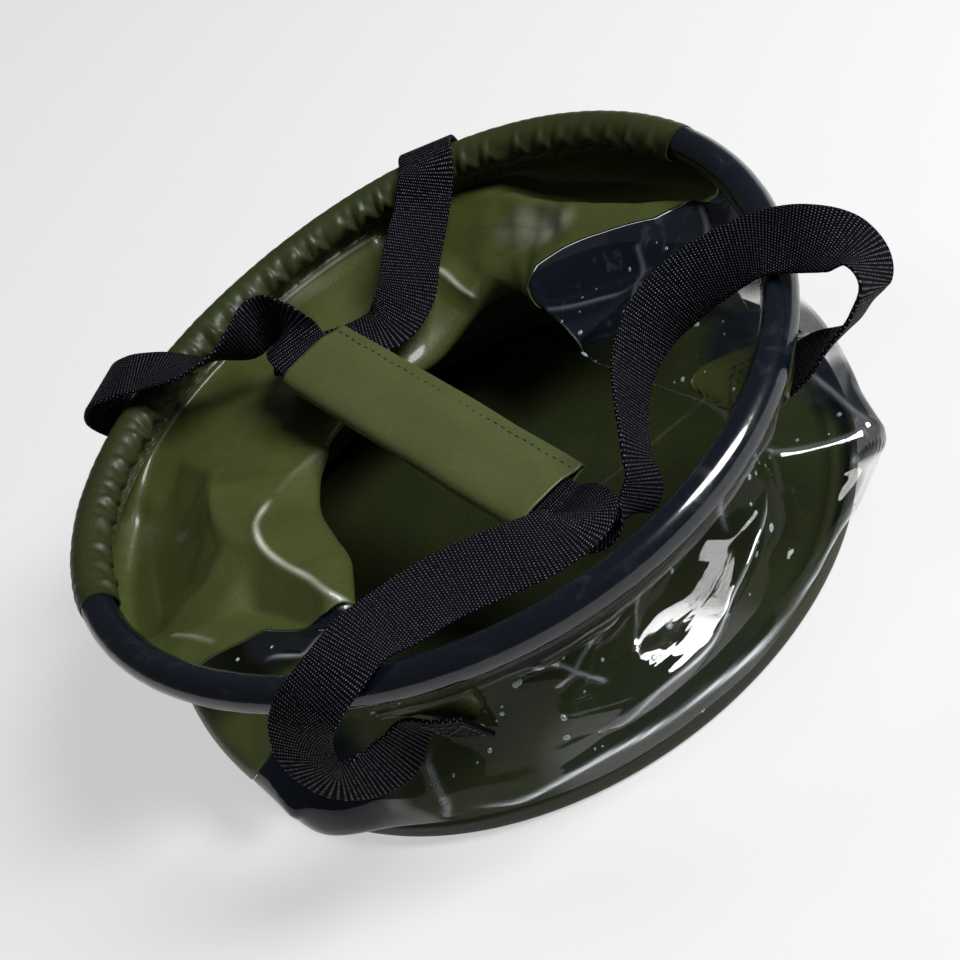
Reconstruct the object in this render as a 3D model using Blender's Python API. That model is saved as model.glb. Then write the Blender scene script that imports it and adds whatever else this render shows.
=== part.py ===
"""Collapsible bucket, half folded down: olive and clear coated cloth on a round rim hoop,
with four webbing legs that run over the rim to one wrapped grip.

Metres, +Z up. Origin: centre of the underside of the base. The clear panel faces -Y.
"""
import bpy
import bmesh
import math
from mathutils import Vector

MM = 0.001

# Driving sizes (metres)
BASE_R = 0.1414            # outside of the upturned edge of the base
BASE_T = 0.0012            # base sheet
BASE_EDGE_H = 0.0080       # height of the upturned edge
WALL_T = 0.0010            # wall sheet
WALL_FOOT_R = 0.1393       # middle of the wall where it stands on the base
WALL_FOOT_Z = 0.0018
HOOP_R = 0.1475            # centre line of the rim hoop
HOOP_Z = 0.0920            # height of the hoop as folded
HOOP_LOBE = 0.0037         # the hoop is pulled out of round by this much, three times round
HOOP_LOBE_AT = 38.0        # degrees
HOOP_ROD_R = 0.0062
HEM_FIT = 0.0005           # room for the hoop in its hem
SLEEVE_R = 0.0075          # outside of the hem round the hoop
TAIL_DROP = 0.0120         # hem tail below the hoop's centre
TAIL_T = 0.0016
WEB_W = 0.0250             # webbing
WEB_T = 0.0016
PATCH_W = 0.0380
PATCH_T = 0.0010
GRIP_W = 0.0360
GRIP_T = 0.0084
CORE_GAP = 0.0004
CORE_END = 0.0007          # the webbing in the grip sticks out this far
GAP = 0.0003               # between pieces that touch
LEG_END = CORE_END + GAP
THREAD_LAY = 0.0006
LAY = 0.0007               # between a curved sheet and what is sewn on it

# Where the wall changes from olive to clear, in degrees, from foot to rim; and the hem
SEAM_RIGHT = (9.0, 9.0, 12.0, 20.0, 31.0, 8.0, 4.0)
SEAM_LEFT = (184.0, 184.0, 190.0, 199.0, 206.0, 196.0, 189.0)
HEM_SEAM_RIGHT = 9.0
HEM_SEAM_LEFT = 171.0
HEM_HANG = Vector((0.0, 0.0, 0.016))

# Wall as folded: angle, then radius and height (mm) of the low bulge, the outward crease,
# the inward tip and the upper slope
STATIONS = (
    (-152.0, (153.0, 15.0), (147.0, 35.0), (88.0, 59.0), (115.0, 70.0)),
    (-140.0, (147.0, 16.0), (146.0, 34.0), (110.0, 59.0), (127.0, 70.0)),
    (-128.0, (146.0, 15.0), (147.0, 32.0), (130.0, 57.0), (137.0, 70.0)),
    (-112.0, (146.0, 13.0), (147.0, 28.0), (146.0, 48.0), (145.0, 65.0)),
    (-90.0, (147.0, 13.0), (146.0, 27.0), (153.0, 41.0), (147.0, 61.0)),
    (-70.0, (147.0, 14.0), (149.0, 29.0), (147.0, 47.0), (145.0, 64.0)),
    (-58.0, (148.0, 17.0), (156.0, 33.0), (130.0, 56.0), (137.0, 69.0)),
    (-48.0, (150.0, 18.0), (163.0, 36.0), (112.0, 58.0), (127.0, 70.0)),
    (-36.0, (145.0, 18.0), (152.0, 38.0), (86.0, 59.0), (114.0, 71.0)),
    (-15.0, (142.0, 20.0), (142.0, 39.0), (64.0, 60.0), (104.0, 72.0)),
    (12.0, (141.0, 20.0), (139.0, 39.0), (66.0, 60.0), (106.0, 72.0)),
    (34.0, (141.0, 20.0), (138.0, 38.0), (80.0, 59.0), (112.0, 71.0)),
    (53.0, (141.0, 18.0), (135.0, 32.0), (103.0, 52.0), (125.0, 69.0)),
    (74.0, (141.0, 16.0), (131.0, 28.0), (88.0, 43.0), (121.0, 66.0)),
    (96.0, (141.0, 20.0), (138.0, 35.0), (77.0, 54.0), (112.0, 69.0)),
    (121.0, (141.0, 20.0), (140.0, 39.0), (70.0, 60.0), (107.0, 72.0)),
    (150.0, (141.0, 20.0), (141.0, 39.0), (66.0, 60.0), (105.0, 72.0)),
    (180.0, (142.0, 20.0), (142.0, 39.0), (64.0, 60.0), (104.0, 72.0)),
    (194.0, (145.0, 18.0), (144.0, 38.0), (68.0, 60.0), (106.0, 72.0)),
)
WALL_ROWS = (1, 2, 3, 7, 4, 2)                      # of mesh, from each level to the next
ROUNDNESS = (1.0, 1.0, 0.9, 0.7, 1.3, 0.9, 1.0)    # of the turn at each level

# Middle of each end of the grip, and its width direction (metres)
GRIP_LEFT = Vector((-0.021, 0.073, 0.0900))
GRIP_RIGHT = Vector((0.006, -0.064, 0.0630))
GRIP_ACROSS = Vector((0.98, 0.19, 0.0))


def clear_scene():
    for obj in list(bpy.data.objects):
        bpy.data.objects.remove(obj, do_unlink=True)
    for mesh in list(bpy.data.meshes):
        bpy.data.meshes.remove(mesh)
    for mat in list(bpy.data.materials):
        bpy.data.materials.remove(mat)


def material(name, colour, roughness, alpha=1.0):
    mat = bpy.data.materials.new(name)
    mat.use_nodes = True
    bsdf = mat.node_tree.nodes["Principled BSDF"]
    bsdf.inputs["Base Color"].default_value = (*colour, 1.0)
    bsdf.inputs["Roughness"].default_value = roughness
    bsdf.inputs["Metallic"].default_value = 0.0
    bsdf.inputs["Alpha"].default_value = alpha
    return mat


def make_object(name, verts, faces, mat, smooth=True):
    mesh = bpy.data.meshes.new(name)
    mesh.from_pydata([tuple(v) for v in verts], [], faces)
    mesh.validate()
    bm = bmesh.new()
    bm.from_mesh(mesh)
    bmesh.ops.recalc_face_normals(bm, faces=bm.faces)
    if bm.calc_volume(signed=True) < 0:
        bmesh.ops.reverse_faces(bm, faces=bm.faces)
    bm.to_mesh(mesh)
    bm.free()
    for poly in mesh.polygons:
        poly.use_smooth = smooth
    mesh.materials.append(mat)
    obj = bpy.data.objects.new(name, mesh)
    bpy.context.scene.collection.objects.link(obj)
    return obj


def hermite(p0, p1, m0, m1, t):
    a = 2 * t**3 - 3 * t**2 + 1
    b = t**3 - 2 * t**2 + t
    c = -2 * t**3 + 3 * t**2
    d = t**3 - t**2
    return a * p0 + b * m0 + c * p1 + d * m1


def hoop_radius(deg):
    return HOOP_R + HOOP_LOBE * math.cos(3 * math.radians(deg - HOOP_LOBE_AT))


def level_value(deg, level, axis):
    """One coordinate (mm) of one level of the wall, smooth all the way round."""
    rows = [(s[0], s[1 + level][axis]) for s in STATIONS]
    count = len(rows)
    turned = (deg - rows[0][0]) % 360.0 + rows[0][0]
    i = count - 1
    while rows[i][0] > turned:
        i -= 1

    def at(k):
        turns, index = divmod(k, count)
        return rows[index][0] + 360.0 * turns, rows[index][1]

    (ta, va), (tb, vb), (tc, vc), (td, vd) = at(i - 1), at(i), at(i + 1), at(i + 2)
    span = tc - tb
    slope_b = 0.5 * ((vb - va) / (tb - ta) + (vc - vb) / span) * span
    slope_c = 0.5 * ((vc - vb) / span + (vd - vc) / (td - tc)) * span
    return hermite(vb, vc, slope_b, slope_c, (turned - tb) / span)


def wall_levels(deg):
    top = hoop_radius(deg)
    levels = [Vector((WALL_FOOT_R, 0, WALL_FOOT_Z)), Vector((WALL_FOOT_R, 0, 0.0092))]
    for level in range(4):
        levels.append(Vector((level_value(deg, level, 0), 0, level_value(deg, level, 1))) * MM)
    levels.append(Vector((top, 0, HOOP_Z - TAIL_DROP - LAY)))
    return levels


def wall_point(deg, s):
    """Middle of the wall sheet; s runs 0 (foot) to 6 (hem)."""
    pts = wall_levels(deg)
    i = min(max(int(s), 0), 5)
    t = s - i
    before = pts[i - 1] if i > 0 else pts[0]
    m0 = (pts[i + 1] - before) * 0.5 * ROUNDNESS[i]
    m1 = HEM_HANG if i == 5 else (pts[i + 2] - pts[i]) * 0.5 * ROUNDNESS[i + 1]
    p = hermite(pts[i], pts[i + 1], m0, m1, t)
    a = math.radians(deg)
    return Vector((p.x * math.cos(a), p.x * math.sin(a), p.z))


def wall_normal(deg, s):
    """Unit normal of the wall, to the outside of the bucket."""
    step = 0.02
    along = wall_point(deg, min(s + step, 6.0)) - wall_point(deg, max(s - step, 0.0))
    around = wall_point(deg + 0.2, s) - wall_point(deg - 0.2, s)
    return around.cross(along).normalized()


def seam_angle(table, s):
    i = min(int(s), 5)
    return table[i] + (table[i + 1] - table[i]) * (s - i)


def shell(name, lines, cols, point, thickness, mat):
    """Sheet of a thickness from point(u, line) -> middle, unit normal; u runs across."""
    rows = len(lines) - 1
    outer, inner = [], []
    for line in lines:
        for i in range(cols + 1):
            p, n = point(i / cols, line)
            outer.append(p + n * thickness / 2)
            inner.append(p - n * thickness / 2)
    wide = cols + 1
    half = len(outer)
    faces = []
    for j in range(rows):
        for i in range(cols):
            a, b = j * wide + i, j * wide + i + 1
            c, d = b + wide, a + wide
            faces += [(a, b, c), (a, c, d)]
            faces += [(half + c, half + b, half + a), (half + d, half + c, half + a)]
    for i in range(cols):
        a, b = i, i + 1
        faces.append((b, a, half + a, half + b))
        a, b = rows * wide + i, rows * wide + i + 1
        faces.append((a, b, half + b, half + a))
    for j in range(rows):
        a, b = j * wide, (j + 1) * wide
        faces.append((a, b, half + b, half + a))
        a, b = j * wide + cols, (j + 1) * wide + cols
        faces.append((b, a, half + a, half + b))
    return make_object(name, outer + inner, faces, mat)


def wall_panel(name, start_table, start_turn, end_table, end_turn, cols, mat):
    def point(u, s):
        a = seam_angle(start_table, s) + start_turn
        b = seam_angle(end_table, s) + end_turn
        trim = math.degrees(GAP / wall_point(a, s).xy.length)
        deg = (a + trim) + (b - a - 2 * trim) * u
        return wall_point(deg, s), wall_normal(deg, s)
    lines = [i + k / count for i, count in enumerate(WALL_ROWS) for k in range(count)] + [6.0]
    return shell(name, lines, cols, point, WALL_T, mat)


def lathe(name, profile, segments, mat):
    """Closed profile of (radius, height); its first and last points are on the axis."""
    verts = [Vector((0, 0, profile[0][1])), Vector((0, 0, profile[-1][1]))]
    ring = profile[1:-1]
    count = len(ring)
    for k in range(segments):
        a = 2 * math.pi * k / segments
        for r, z in ring:
            verts.append(Vector((r * math.cos(a), r * math.sin(a), z)))
    faces = []
    for k in range(segments):
        here, there = 2 + k * count, 2 + ((k + 1) % segments) * count
        faces.append((0, there, here))
        faces.append((1, here + count - 1, there + count - 1))
        for i in range(count - 1):
            faces.append((here + i, there + i, there + i + 1, here + i + 1))
    return make_object(name, verts, faces, mat, smooth=False)


def hoop_frame(deg):
    a = math.radians(deg)
    out = Vector((math.cos(a), math.sin(a), 0))
    return out * hoop_radius(deg) + Vector((0, 0, HOOP_Z)), out


def hoop_ring(name, segments, sides, mat):
    verts, faces = [], []
    for k in range(segments):
        centre, out = hoop_frame(360.0 * k / segments)
        for i in range(sides):
            b = 2 * math.pi * i / sides
            verts.append(centre + out * HOOP_ROD_R * math.cos(b)
                         + Vector((0, 0, HOOP_ROD_R * math.sin(b))))
    for k in range(segments):
        for i in range(sides):
            a, b = k * sides + i, k * sides + (i + 1) % sides
            n = (k + 1) % segments
            faces.append((a, b, n * sides + (i + 1) % sides, n * sides + i))
    return make_object(name, verts, faces, mat)


def hem_sleeve(name, start, end, segments, mat):
    """Hem wrapped round the hoop, with its two plies hanging as a tail under it."""
    sides = 14
    half_tail = TAIL_T / 2
    spread = math.degrees(math.asin(half_tail / SLEEVE_R))
    outer = [(half_tail, -TAIL_DROP)]
    outer_angles = [-90 + spread + (360 - 2 * spread) * i / (sides - 1) for i in range(sides)]
    outer += [(SLEEVE_R * math.cos(math.radians(b)), SLEEVE_R * math.sin(math.radians(b)))
              for b in outer_angles]
    outer.append((-half_tail, -TAIL_DROP))
    bore_r = HOOP_ROD_R + HEM_FIT
    bore_angles = [-86.0] + [b + (6.0 if b < 90 else -6.0) for b in outer_angles] + [-94.0 + 360]
    bore = [(bore_r * math.cos(math.radians(b)), bore_r * math.sin(math.radians(b)))
            for b in bore_angles]
    count = len(outer)
    verts, faces = [], []
    for k in range(segments + 1):
        centre, out = hoop_frame(start + (end - start) * k / segments)
        for x, z in outer + bore:
            verts.append(centre + out * x + Vector((0, 0, z)))
    step = 2 * count
    for k in range(segments):
        a, b = k * step, (k + 1) * step
        for i in range(count):
            j = (i + 1) % count
            faces.append((a + i, a + j, b + j, b + i))
            faces.append((a + count + j, a + count + i, b + count + i, b + count + j))
    for base, flip in ((0, False), (segments * step, True)):
        for i in range(count):
            j = (i + 1) % count
            quad = (base + i, base + count + i, base + count + j, base + j)
            faces.append(quad[::-1] if flip else quad)
    return make_object(name, verts, faces, mat)


def smooth_path(nodes, spacing):
    """Curve through (point, width direction) nodes, as (point, tangent, width, normal)."""
    pts = [Vector(n[0]) for n in nodes]
    dirs = [Vector(n[1]).normalized() for n in nodes]
    spans = [(b - a).length for a, b in zip(pts, pts[1:])]

    def slopes(values):
        rates = [(b - a) / h for a, b, h in zip(values, values[1:], spans)]
        inner = [(p * k + q * h) / (h + k)
                 for p, q, h, k in zip(rates, rates[1:], spans, spans[1:])]
        return [rates[0]] + inner + [rates[-1]]

    place_slopes, dir_slopes = slopes(pts), slopes(dirs)

    def sample(values, rates, i, t):
        return hermite(values[i], values[i + 1], rates[i] * spans[i], rates[i + 1] * spans[i], t)

    out = []
    for i, span in enumerate(spans):
        steps = max(1, round(span / spacing))
        for k in range(steps + (1 if i == len(spans) - 1 else 0)):
            t = k / steps
            p = sample(pts, place_slopes, i, t)
            ahead = sample(pts, place_slopes, i, t + 0.01)
            behind = sample(pts, place_slopes, i, t - 0.01)
            tangent = (ahead - behind).normalized()
            across = sample(dirs, dir_slopes, i, t)
            across = (across - tangent * across.dot(tangent)).normalized()
            out.append((p, tangent, across, tangent.cross(across)))
    return out


def ribbon(name, frames, width, thickness, mat):
    verts, faces = [], []
    for p, _, w, n in frames:
        for x, y in ((-1, -1), (1, -1), (1, 1), (-1, 1)):
            verts.append(p + w * x * width / 2 + n * y * thickness / 2)
    for k in range(len(frames) - 1):
        a, b = 4 * k, 4 * k + 4
        for i in range(4):
            j = (i + 1) % 4
            faces.append((a + i, a + j, b + j, b + i))
    faces.append((3, 2, 1, 0))
    last = 4 * (len(frames) - 1)
    faces.append((last, last + 1, last + 2, last + 3))
    return make_object(name, verts, faces, mat, smooth=False)


def around(deg):
    """Unit direction along the rim at an angle."""
    a = math.radians(deg)
    return Vector((-math.sin(a), math.cos(a), 0))


def on_wall(deg, s, lift):
    return wall_point(deg, s) + wall_normal(deg, s) * lift


def across_wall(deg, s):
    """Unit direction round the bucket in the wall's own surface."""
    return (wall_point(deg + 4.0, s) - wall_point(deg - 4.0, s)).normalized()


def up_wall(deg, s):
    """Unit direction up the wall in its own surface."""
    return (wall_point(deg, s + 0.2) - wall_point(deg, s - 0.2)).normalized()


def by_hoop(deg, x, z):
    """Point at x outwards and z upwards from the hoop's centre line."""
    centre, out = hoop_frame(deg)
    return centre + out * x + Vector((0, 0, z))


def inboard(deg, share, z):
    """Point inside the rim, at a share of the hoop's radius and z upwards from its centre line."""
    _, out = hoop_frame(deg)
    return out * hoop_radius(deg) * share + Vector((0, 0, HOOP_Z + z))


ANCHORS = {"back_right": 58.0, "back_left": 122.0, "front_right": -46.0, "front_left": -122.0}
STAND = {"back_right": 0.0001, "back_left": 0.0003, "front_right": 0.0014, "front_left": 0.0028}
STRAP_LIFT = WALL_T / 2 + LAY + PATCH_T + GAP + WEB_T / 2
SEW_LOW = 4.74             # the sewn end of each leg, in levels of the wall
SEW_HIGH = 5.46


def anchor_patch(name, deg, mat):
    """Tab under the sewn end of a leg, square at the rim and round at its lower end."""
    low, high = 4.32, 5.90
    lift = WALL_T / 2 + LAY + PATCH_T / 2
    rows = 10
    levels = [high + (low - high) * j / rows for j in range(rows + 1)]
    run = [0.0]
    for a, b in zip(levels, levels[1:]):
        run.append(run[-1] + (wall_point(deg, a) - wall_point(deg, b)).length)
    half = PATCH_W / 2
    start_round = run[-1] - half

    def point(u, j):
        past = max(run[j] - start_round, 0.0)
        wide = max(math.sqrt(max(half**2 - past**2, 0.0)), 0.005)
        s = levels[j]
        turn = math.degrees((2 * u - 1) * wide / wall_point(deg, s).xy.length)
        return on_wall(deg + turn, s, lift), wall_normal(deg + turn, s)
    return shell(name, range(rows + 1), 6, point, PATCH_T, mat)


def box_stitch(name, frames, outward, mat):
    """Square of thread with a cross in it, lying on the sewn end of a leg."""
    half = 0.0085
    bar = 0.0007
    inner = half - 2 * bar
    arm = bar * math.sqrt(2)
    bm = bmesh.new()
    corners = [Vector((x, y, 0)) for x, y in ((-half, -half), (half, -half), (half, half), (-half, half))]
    outer = [bm.verts.new(c) for c in corners]
    starts, ends, tips = [], [], []
    for k in range(4):
        turn = math.radians(90 * k)
        c, s = math.cos(turn), math.sin(turn)

        def placed(x, y):
            return bm.verts.new((x * c - y * s, x * s + y * c, 0))
        starts.append(placed(-inner + arm, -inner))
        ends.append(placed(inner - arm, -inner))
        tips.append(placed(0, -arm))
    for k in range(4):
        n = (k + 1) % 4
        bm.faces.new((outer[k], outer[n], ends[k], starts[k]))
        bm.faces.new((outer[n], starts[n], ends[k]))
        bm.faces.new((ends[k], starts[n], tips[n], tips[k]))
    bm.faces.new(tips)
    bmesh.ops.subdivide_edges(bm, edges=bm.edges[:], cuts=1, use_grid_fill=True)
    bmesh.ops.triangulate(bm, faces=bm.faces[:])
    bm.verts.index_update()
    flat = [v.co.copy() for v in bm.verts]
    tris = [tuple(v.index for v in f.verts) for f in bm.faces]
    rims = [tuple(v.index for v in e.verts) for e in bm.edges if e.is_boundary]
    bm.free()
    thick = 0.0006
    runs = [0.0]
    for one, two in zip(frames, frames[1:]):
        runs.append(runs[-1] + (two[0] - one[0]).length)
    middle = 0.0010 + half
    top, under = [], []
    for v in flat:
        run = middle + v.y
        k = max(i for i in range(len(runs) - 1) if runs[i] <= run)
        t = (run - runs[k]) / (runs[k + 1] - runs[k])
        base = frames[k][0].lerp(frames[k + 1][0], t)
        w = frames[k][2].lerp(frames[k + 1][2], t)
        n = frames[k][3].lerp(frames[k + 1][3], t).normalized()
        if n.dot(outward) < 0:
            n = -n
        low = base + w * v.x + n * (WEB_T / 2 + THREAD_LAY)
        under.append(low)
        top.append(low + n * thick)
    count = len(top)
    faces = [t for t in tris] + [tuple(count + i for i in reversed(t)) for t in tris]
    for a, b in rims:
        faces.append((a, b, count + b, count + a))
    return make_object(name, top + under, faces, mat, smooth=False)


def grip_axes():
    axis = (GRIP_RIGHT - GRIP_LEFT).normalized()
    across = (GRIP_ACROSS - axis * GRIP_ACROSS.dot(axis)).normalized()
    up = across.cross(axis)
    if up.z < 0:
        up = -up
    return axis, across, up


def core_offset(layer):
    """Height of a webbing layer in the grip: 1 is the upper one, -1 the lower one."""
    return layer * (WEB_T + CORE_GAP) / 2


def mouth(end, layer, away):
    """Middle of a webbing layer at a distance outside one end of the grip."""
    axis, _, up = grip_axes()
    centre = GRIP_LEFT - axis * away if end == "left" else GRIP_RIGHT + axis * away
    return centre + up * core_offset(layer)


def leg_nodes():
    """Each leg from its sewn end, out round the hoop and in to the grip."""
    _, across, _ = grip_axes()
    up = Vector((0, 0, 1))

    def sewn(where):
        deg = ANCHORS[where]
        lift = STRAP_LIFT + STAND[where]
        levels = (SEW_LOW, (SEW_LOW + SEW_HIGH) / 2, SEW_HIGH)
        return [(on_wall(deg, s, lift), across_wall(deg, s)) for s in levels]

    def over(deg, turn=1.0):
        w = around(deg) * turn
        return [(by_hoop(deg, 4.0 * MM, -19.5 * MM), w), (by_hoop(deg, 10.8 * MM, -12.0 * MM), w),
                (by_hoop(deg, 10.4 * MM, 0.0), w), (by_hoop(deg, 6.8 * MM, 7.6 * MM), w),
                (by_hoop(deg, 0.0, 9.9 * MM), w), (by_hoop(deg, -7.4 * MM, 7.6 * MM), w)]

    a = sewn("back_right") + over(59.0)
    a += [(by_hoop(61.49, -16.7 * MM, -1.5 * MM), (-0.80, 0.58, 0.15)),
          (inboard(67.34, 0.7561, -12.0 * MM), (-0.62, 0.60, 0.50)),
          ((0.0290, 0.0930, 0.0720), (-0.60, 0.62, 0.50)),
          ((0.0160, 0.0900, 0.0685), (-0.35, 0.85, 0.30)),
          ((0.0030, 0.0935, 0.0695), (0.20, 0.97, 0.10)),
          ((-0.0090, 0.0975, 0.0735), (0.10, 0.98, 0.0)),
          ((-0.0190, 0.0950, 0.0805), (-0.70, 0.70, 0.0)),
          ((-0.0232, 0.0870, 0.0870), -across),
          (mouth("left", -1, 0.007), -across),
          (mouth("left", -1, LEG_END), -across)]
    b = sewn("back_left")
    b += [(by_hoop(123.0, 6.5 * MM, -17.0 * MM), around(123.0)),
          (by_hoop(124.5, 16.5 * MM, -8.0 * MM), around(124.5)),
          (by_hoop(125.13, 24.2 * MM, 4.0 * MM), (-0.81, -0.58, 0.0)),
          (by_hoop(124.99, 17.9 * MM, 12.5 * MM), (-0.79, -0.61, 0.0)),
          (by_hoop(124.21, 6.2 * MM, 15.8 * MM), (-0.74, -0.67, 0.0)),
          (by_hoop(122.29, -5.6 * MM, 14.0 * MM), (-0.66, -0.75, 0.08)),
          (inboard(120.09, 0.8509, 11.0 * MM), (-0.58, -0.73, 0.35)),
          (inboard(115.75, 0.7604, 9.5 * MM), (-0.28, -0.66, 0.69)),
          (inboard(109.75, 0.7170, 9.8 * MM), (-0.07, -0.19, 0.98)),
          (inboard(105.33, 0.7089, 10.8 * MM), (0.05, 0.0, 1.0)),
          ((-0.0212, 0.0955, 0.1024), (0.10, 0.0, 1.0)),
          ((-0.0205, 0.0895, 0.1000), (0.50, 0.05, 0.85)),
          ((-0.0217, 0.0838, 0.0965), (0.90, 0.15, 0.35)),
          (mouth("left", 1, 0.0050), across),
          (mouth("left", 1, LEG_END), across)]
    c = sewn("front_right")
    c += [(by_hoop(-46.5, 7.0 * MM, -14.0 * MM), around(-46.5)),
          (by_hoop(-46.09, 20.9 * MM, -7.0 * MM), (0.68, 0.58, -0.45)),
          (by_hoop(-45.18, 31.1 * MM, 1.0 * MM), (0.62, 0.60, -0.52)),
          (by_hoop(-44.12, 37.6 * MM, 7.0 * MM), (0.60, 0.48, -0.62)),
          (by_hoop(-41.89, 36.8 * MM, 12.5 * MM), (0.70, 0.30, -0.45)),
          (by_hoop(-39.66, 29.4 * MM, 16.0 * MM), (0.86, 0.28, 0.10)),
          (by_hoop(-36.48, 15.0 * MM, 16.8 * MM), (0.66, 0.48, 0.50)),
          (by_hoop(-33.47, -1.2 * MM, 14.5 * MM), (0.48, 0.72, 0.45)),
          (inboard(-31.86, 0.8732, 9.5 * MM), (0.38, 0.62, 0.66)),
          (inboard(-31.78, 0.7501, 3.5 * MM), (0.10, 0.48, 0.85)),
          ((0.0765, -0.0540, 0.0900), (-0.15, 0.20, 0.96)),
          ((0.0600, -0.0600, 0.0835), (-0.27, -0.05, 0.95)),
          ((0.0490, -0.0711, 0.0775), (-0.30, -0.25, 0.92)),
          ((0.0405, -0.0830, 0.0705), (-0.38, -0.32, 0.87)),
          ((0.0345, -0.0895, 0.0622), (-0.52, -0.32, 0.80)),
          ((0.0265, -0.0905, 0.0570), (-0.84, -0.27, 0.40)),
          ((0.0170, -0.0855, 0.0562), -across),
          (mouth("right", -1, 0.010), -across),
          (mouth("right", -1, LEG_END), -across)]
    d = []
    upright = wall_point(-121.0, 5.40) - wall_point(-121.0, 4.25) - around(-31.0) * 0.0014
    for deg in (-116.5, -121.0, -125.5):
        place = wall_point(deg, 4.25).lerp(wall_point(deg, 5.40), 0.5)
        d.append((place + wall_normal(deg, 4.9) * (STRAP_LIFT + STAND["front_left"]), upright))
    d += [(by_hoop(-129.46, 5.7 * MM, -31.5 * MM), up + around(-129.5) * 0.1),
          (by_hoop(-133.45, 12.9 * MM, -32.0 * MM), up + around(-133.5) * 0.4),
          (by_hoop(-137.28, 16.0 * MM, -28.5 * MM), up + around(-137.0)),
          (by_hoop(-138.93, 16.0 * MM, -18.5 * MM), around(-138.0) + up * 0.2),
          (by_hoop(-138.32, 14.8 * MM, -9.0 * MM), (0.64, -0.76, 0.0)),
          (by_hoop(-136.29, 13.1 * MM, 1.0 * MM), (0.50, -0.82, -0.25)),
          (by_hoop(-133.03, 9.7 * MM, 9.0 * MM), (0.25, -0.88, -0.38)),
          (by_hoop(-130.05, 3.1 * MM, 13.0 * MM), (0.12, -0.91, -0.38)),
          (by_hoop(-127.16, -7.5 * MM, 13.6 * MM), (0.04, -0.93, -0.28)),
          (inboard(-122.65, 0.8405, 6.5 * MM), (0.0, -0.84, -0.50)),
          (inboard(-115.98, 0.7467, 0.0), (-0.05, -0.79, -0.60)),
          (inboard(-106.33, 0.6943, -5.8 * MM), (-0.08, -0.78, -0.62)),
          (inboard(-95.65, 0.6753, -11.0 * MM), (0.05, -0.84, -0.52)),
          (inboard(-87.38, 0.6528, -15.8 * MM), (0.40, -0.86, -0.30)),
          ((0.0118, -0.0895, 0.0715), (0.82, -0.57, -0.08)),
          ((0.0108, -0.0795, 0.0665), across),
          (mouth("right", 1, 0.005), across),
          (mouth("right", 1, LEG_END), across)]
    return {"back_right": a, "back_left": b, "front_right": c, "front_left": d}


def grip_section():
    """Outline of the wrap: full at its folded edge, thin at its sewn edge; and its bore."""
    left, right = -GRIP_W / 2, GRIP_W / 2
    full = GRIP_T / 2
    seam = 0.0016
    outer = [(left, -0.0006), (left + 0.0004, -0.0020), (left + 0.0016, -0.0032),
             (left + 0.0045, -full), (right - 0.0110, -full), (right - 0.0070, -0.0034),
             (right - 0.0042, -seam), (right, -seam), (right, seam), (right - 0.0042, seam),
             (right - 0.0070, 0.0034), (right - 0.0110, full), (left + 0.0045, full),
             (left + 0.0016, 0.0032), (left + 0.0004, 0.0020), (left, 0.0006)]
    room = WEB_T + CORE_GAP / 2 + GAP + 0.0001
    side = WEB_W / 2 + 0.0004
    shift = -0.0022
    bore = [(shift - side, -0.0005), (shift - side, -0.0010), (shift - side, -0.0015),
            (shift - side, -room), (shift + side - 0.002, -room), (shift + side - 0.001, -room),
            (shift + side, -room), (shift + side, -0.0006), (shift + side, 0.0006),
            (shift + side, room), (shift + side - 0.001, room), (shift + side - 0.002, room),
            (shift - side, room), (shift - side, 0.0015), (shift - side, 0.0010),
            (shift - side, 0.0005)]
    return outer, bore, shift


def grip_wrap(name, mat):
    outer, bore, shift = grip_section()
    axis, across, up = grip_axes()
    count = len(outer)
    steps = 4
    verts, faces = [], []
    for k in range(steps + 1):
        centre = GRIP_LEFT.lerp(GRIP_RIGHT, k / steps) - across * shift
        for x, z in outer + bore:
            verts.append(centre + across * x + up * z)
    stride = 2 * count
    for k in range(steps):
        a, b = k * stride, (k + 1) * stride
        for i in range(count):
            j = (i + 1) % count
            faces.append((a + i, a + j, b + j, b + i))
            faces.append((a + count + j, a + count + i, b + count + i, b + count + j))
    for base, flip in ((0, False), (steps * stride, True)):
        for i in range(count):
            j = (i + 1) % count
            quad = (base + i, base + count + i, base + count + j, base + j)
            faces.append(quad[::-1] if flip else quad)
    return make_object(name, verts, faces, mat)


def grip_stitch(name, mat):
    _, _, shift = grip_section()
    axis, across, up = grip_axes()
    side = GRIP_W / 2 - 0.0020 - shift
    height = 0.0016 + GAP + 0.00025
    frames = []
    for k in range(5):
        t = 0.02 + 0.96 * k / 4
        centre = GRIP_LEFT.lerp(GRIP_RIGHT, t) + across * side + up * height
        frames.append((centre, axis, across, up))
    return ribbon(name, frames, 0.0009, 0.0005, mat)


def webbing_core(name, layer, mat):
    axis, across, up = grip_axes()
    frames = []
    for end in ("left", "right"):
        frames.append((mouth(end, layer, CORE_END), axis, across, up))
    return ribbon(name, frames, WEB_W, WEB_T, mat)


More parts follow.
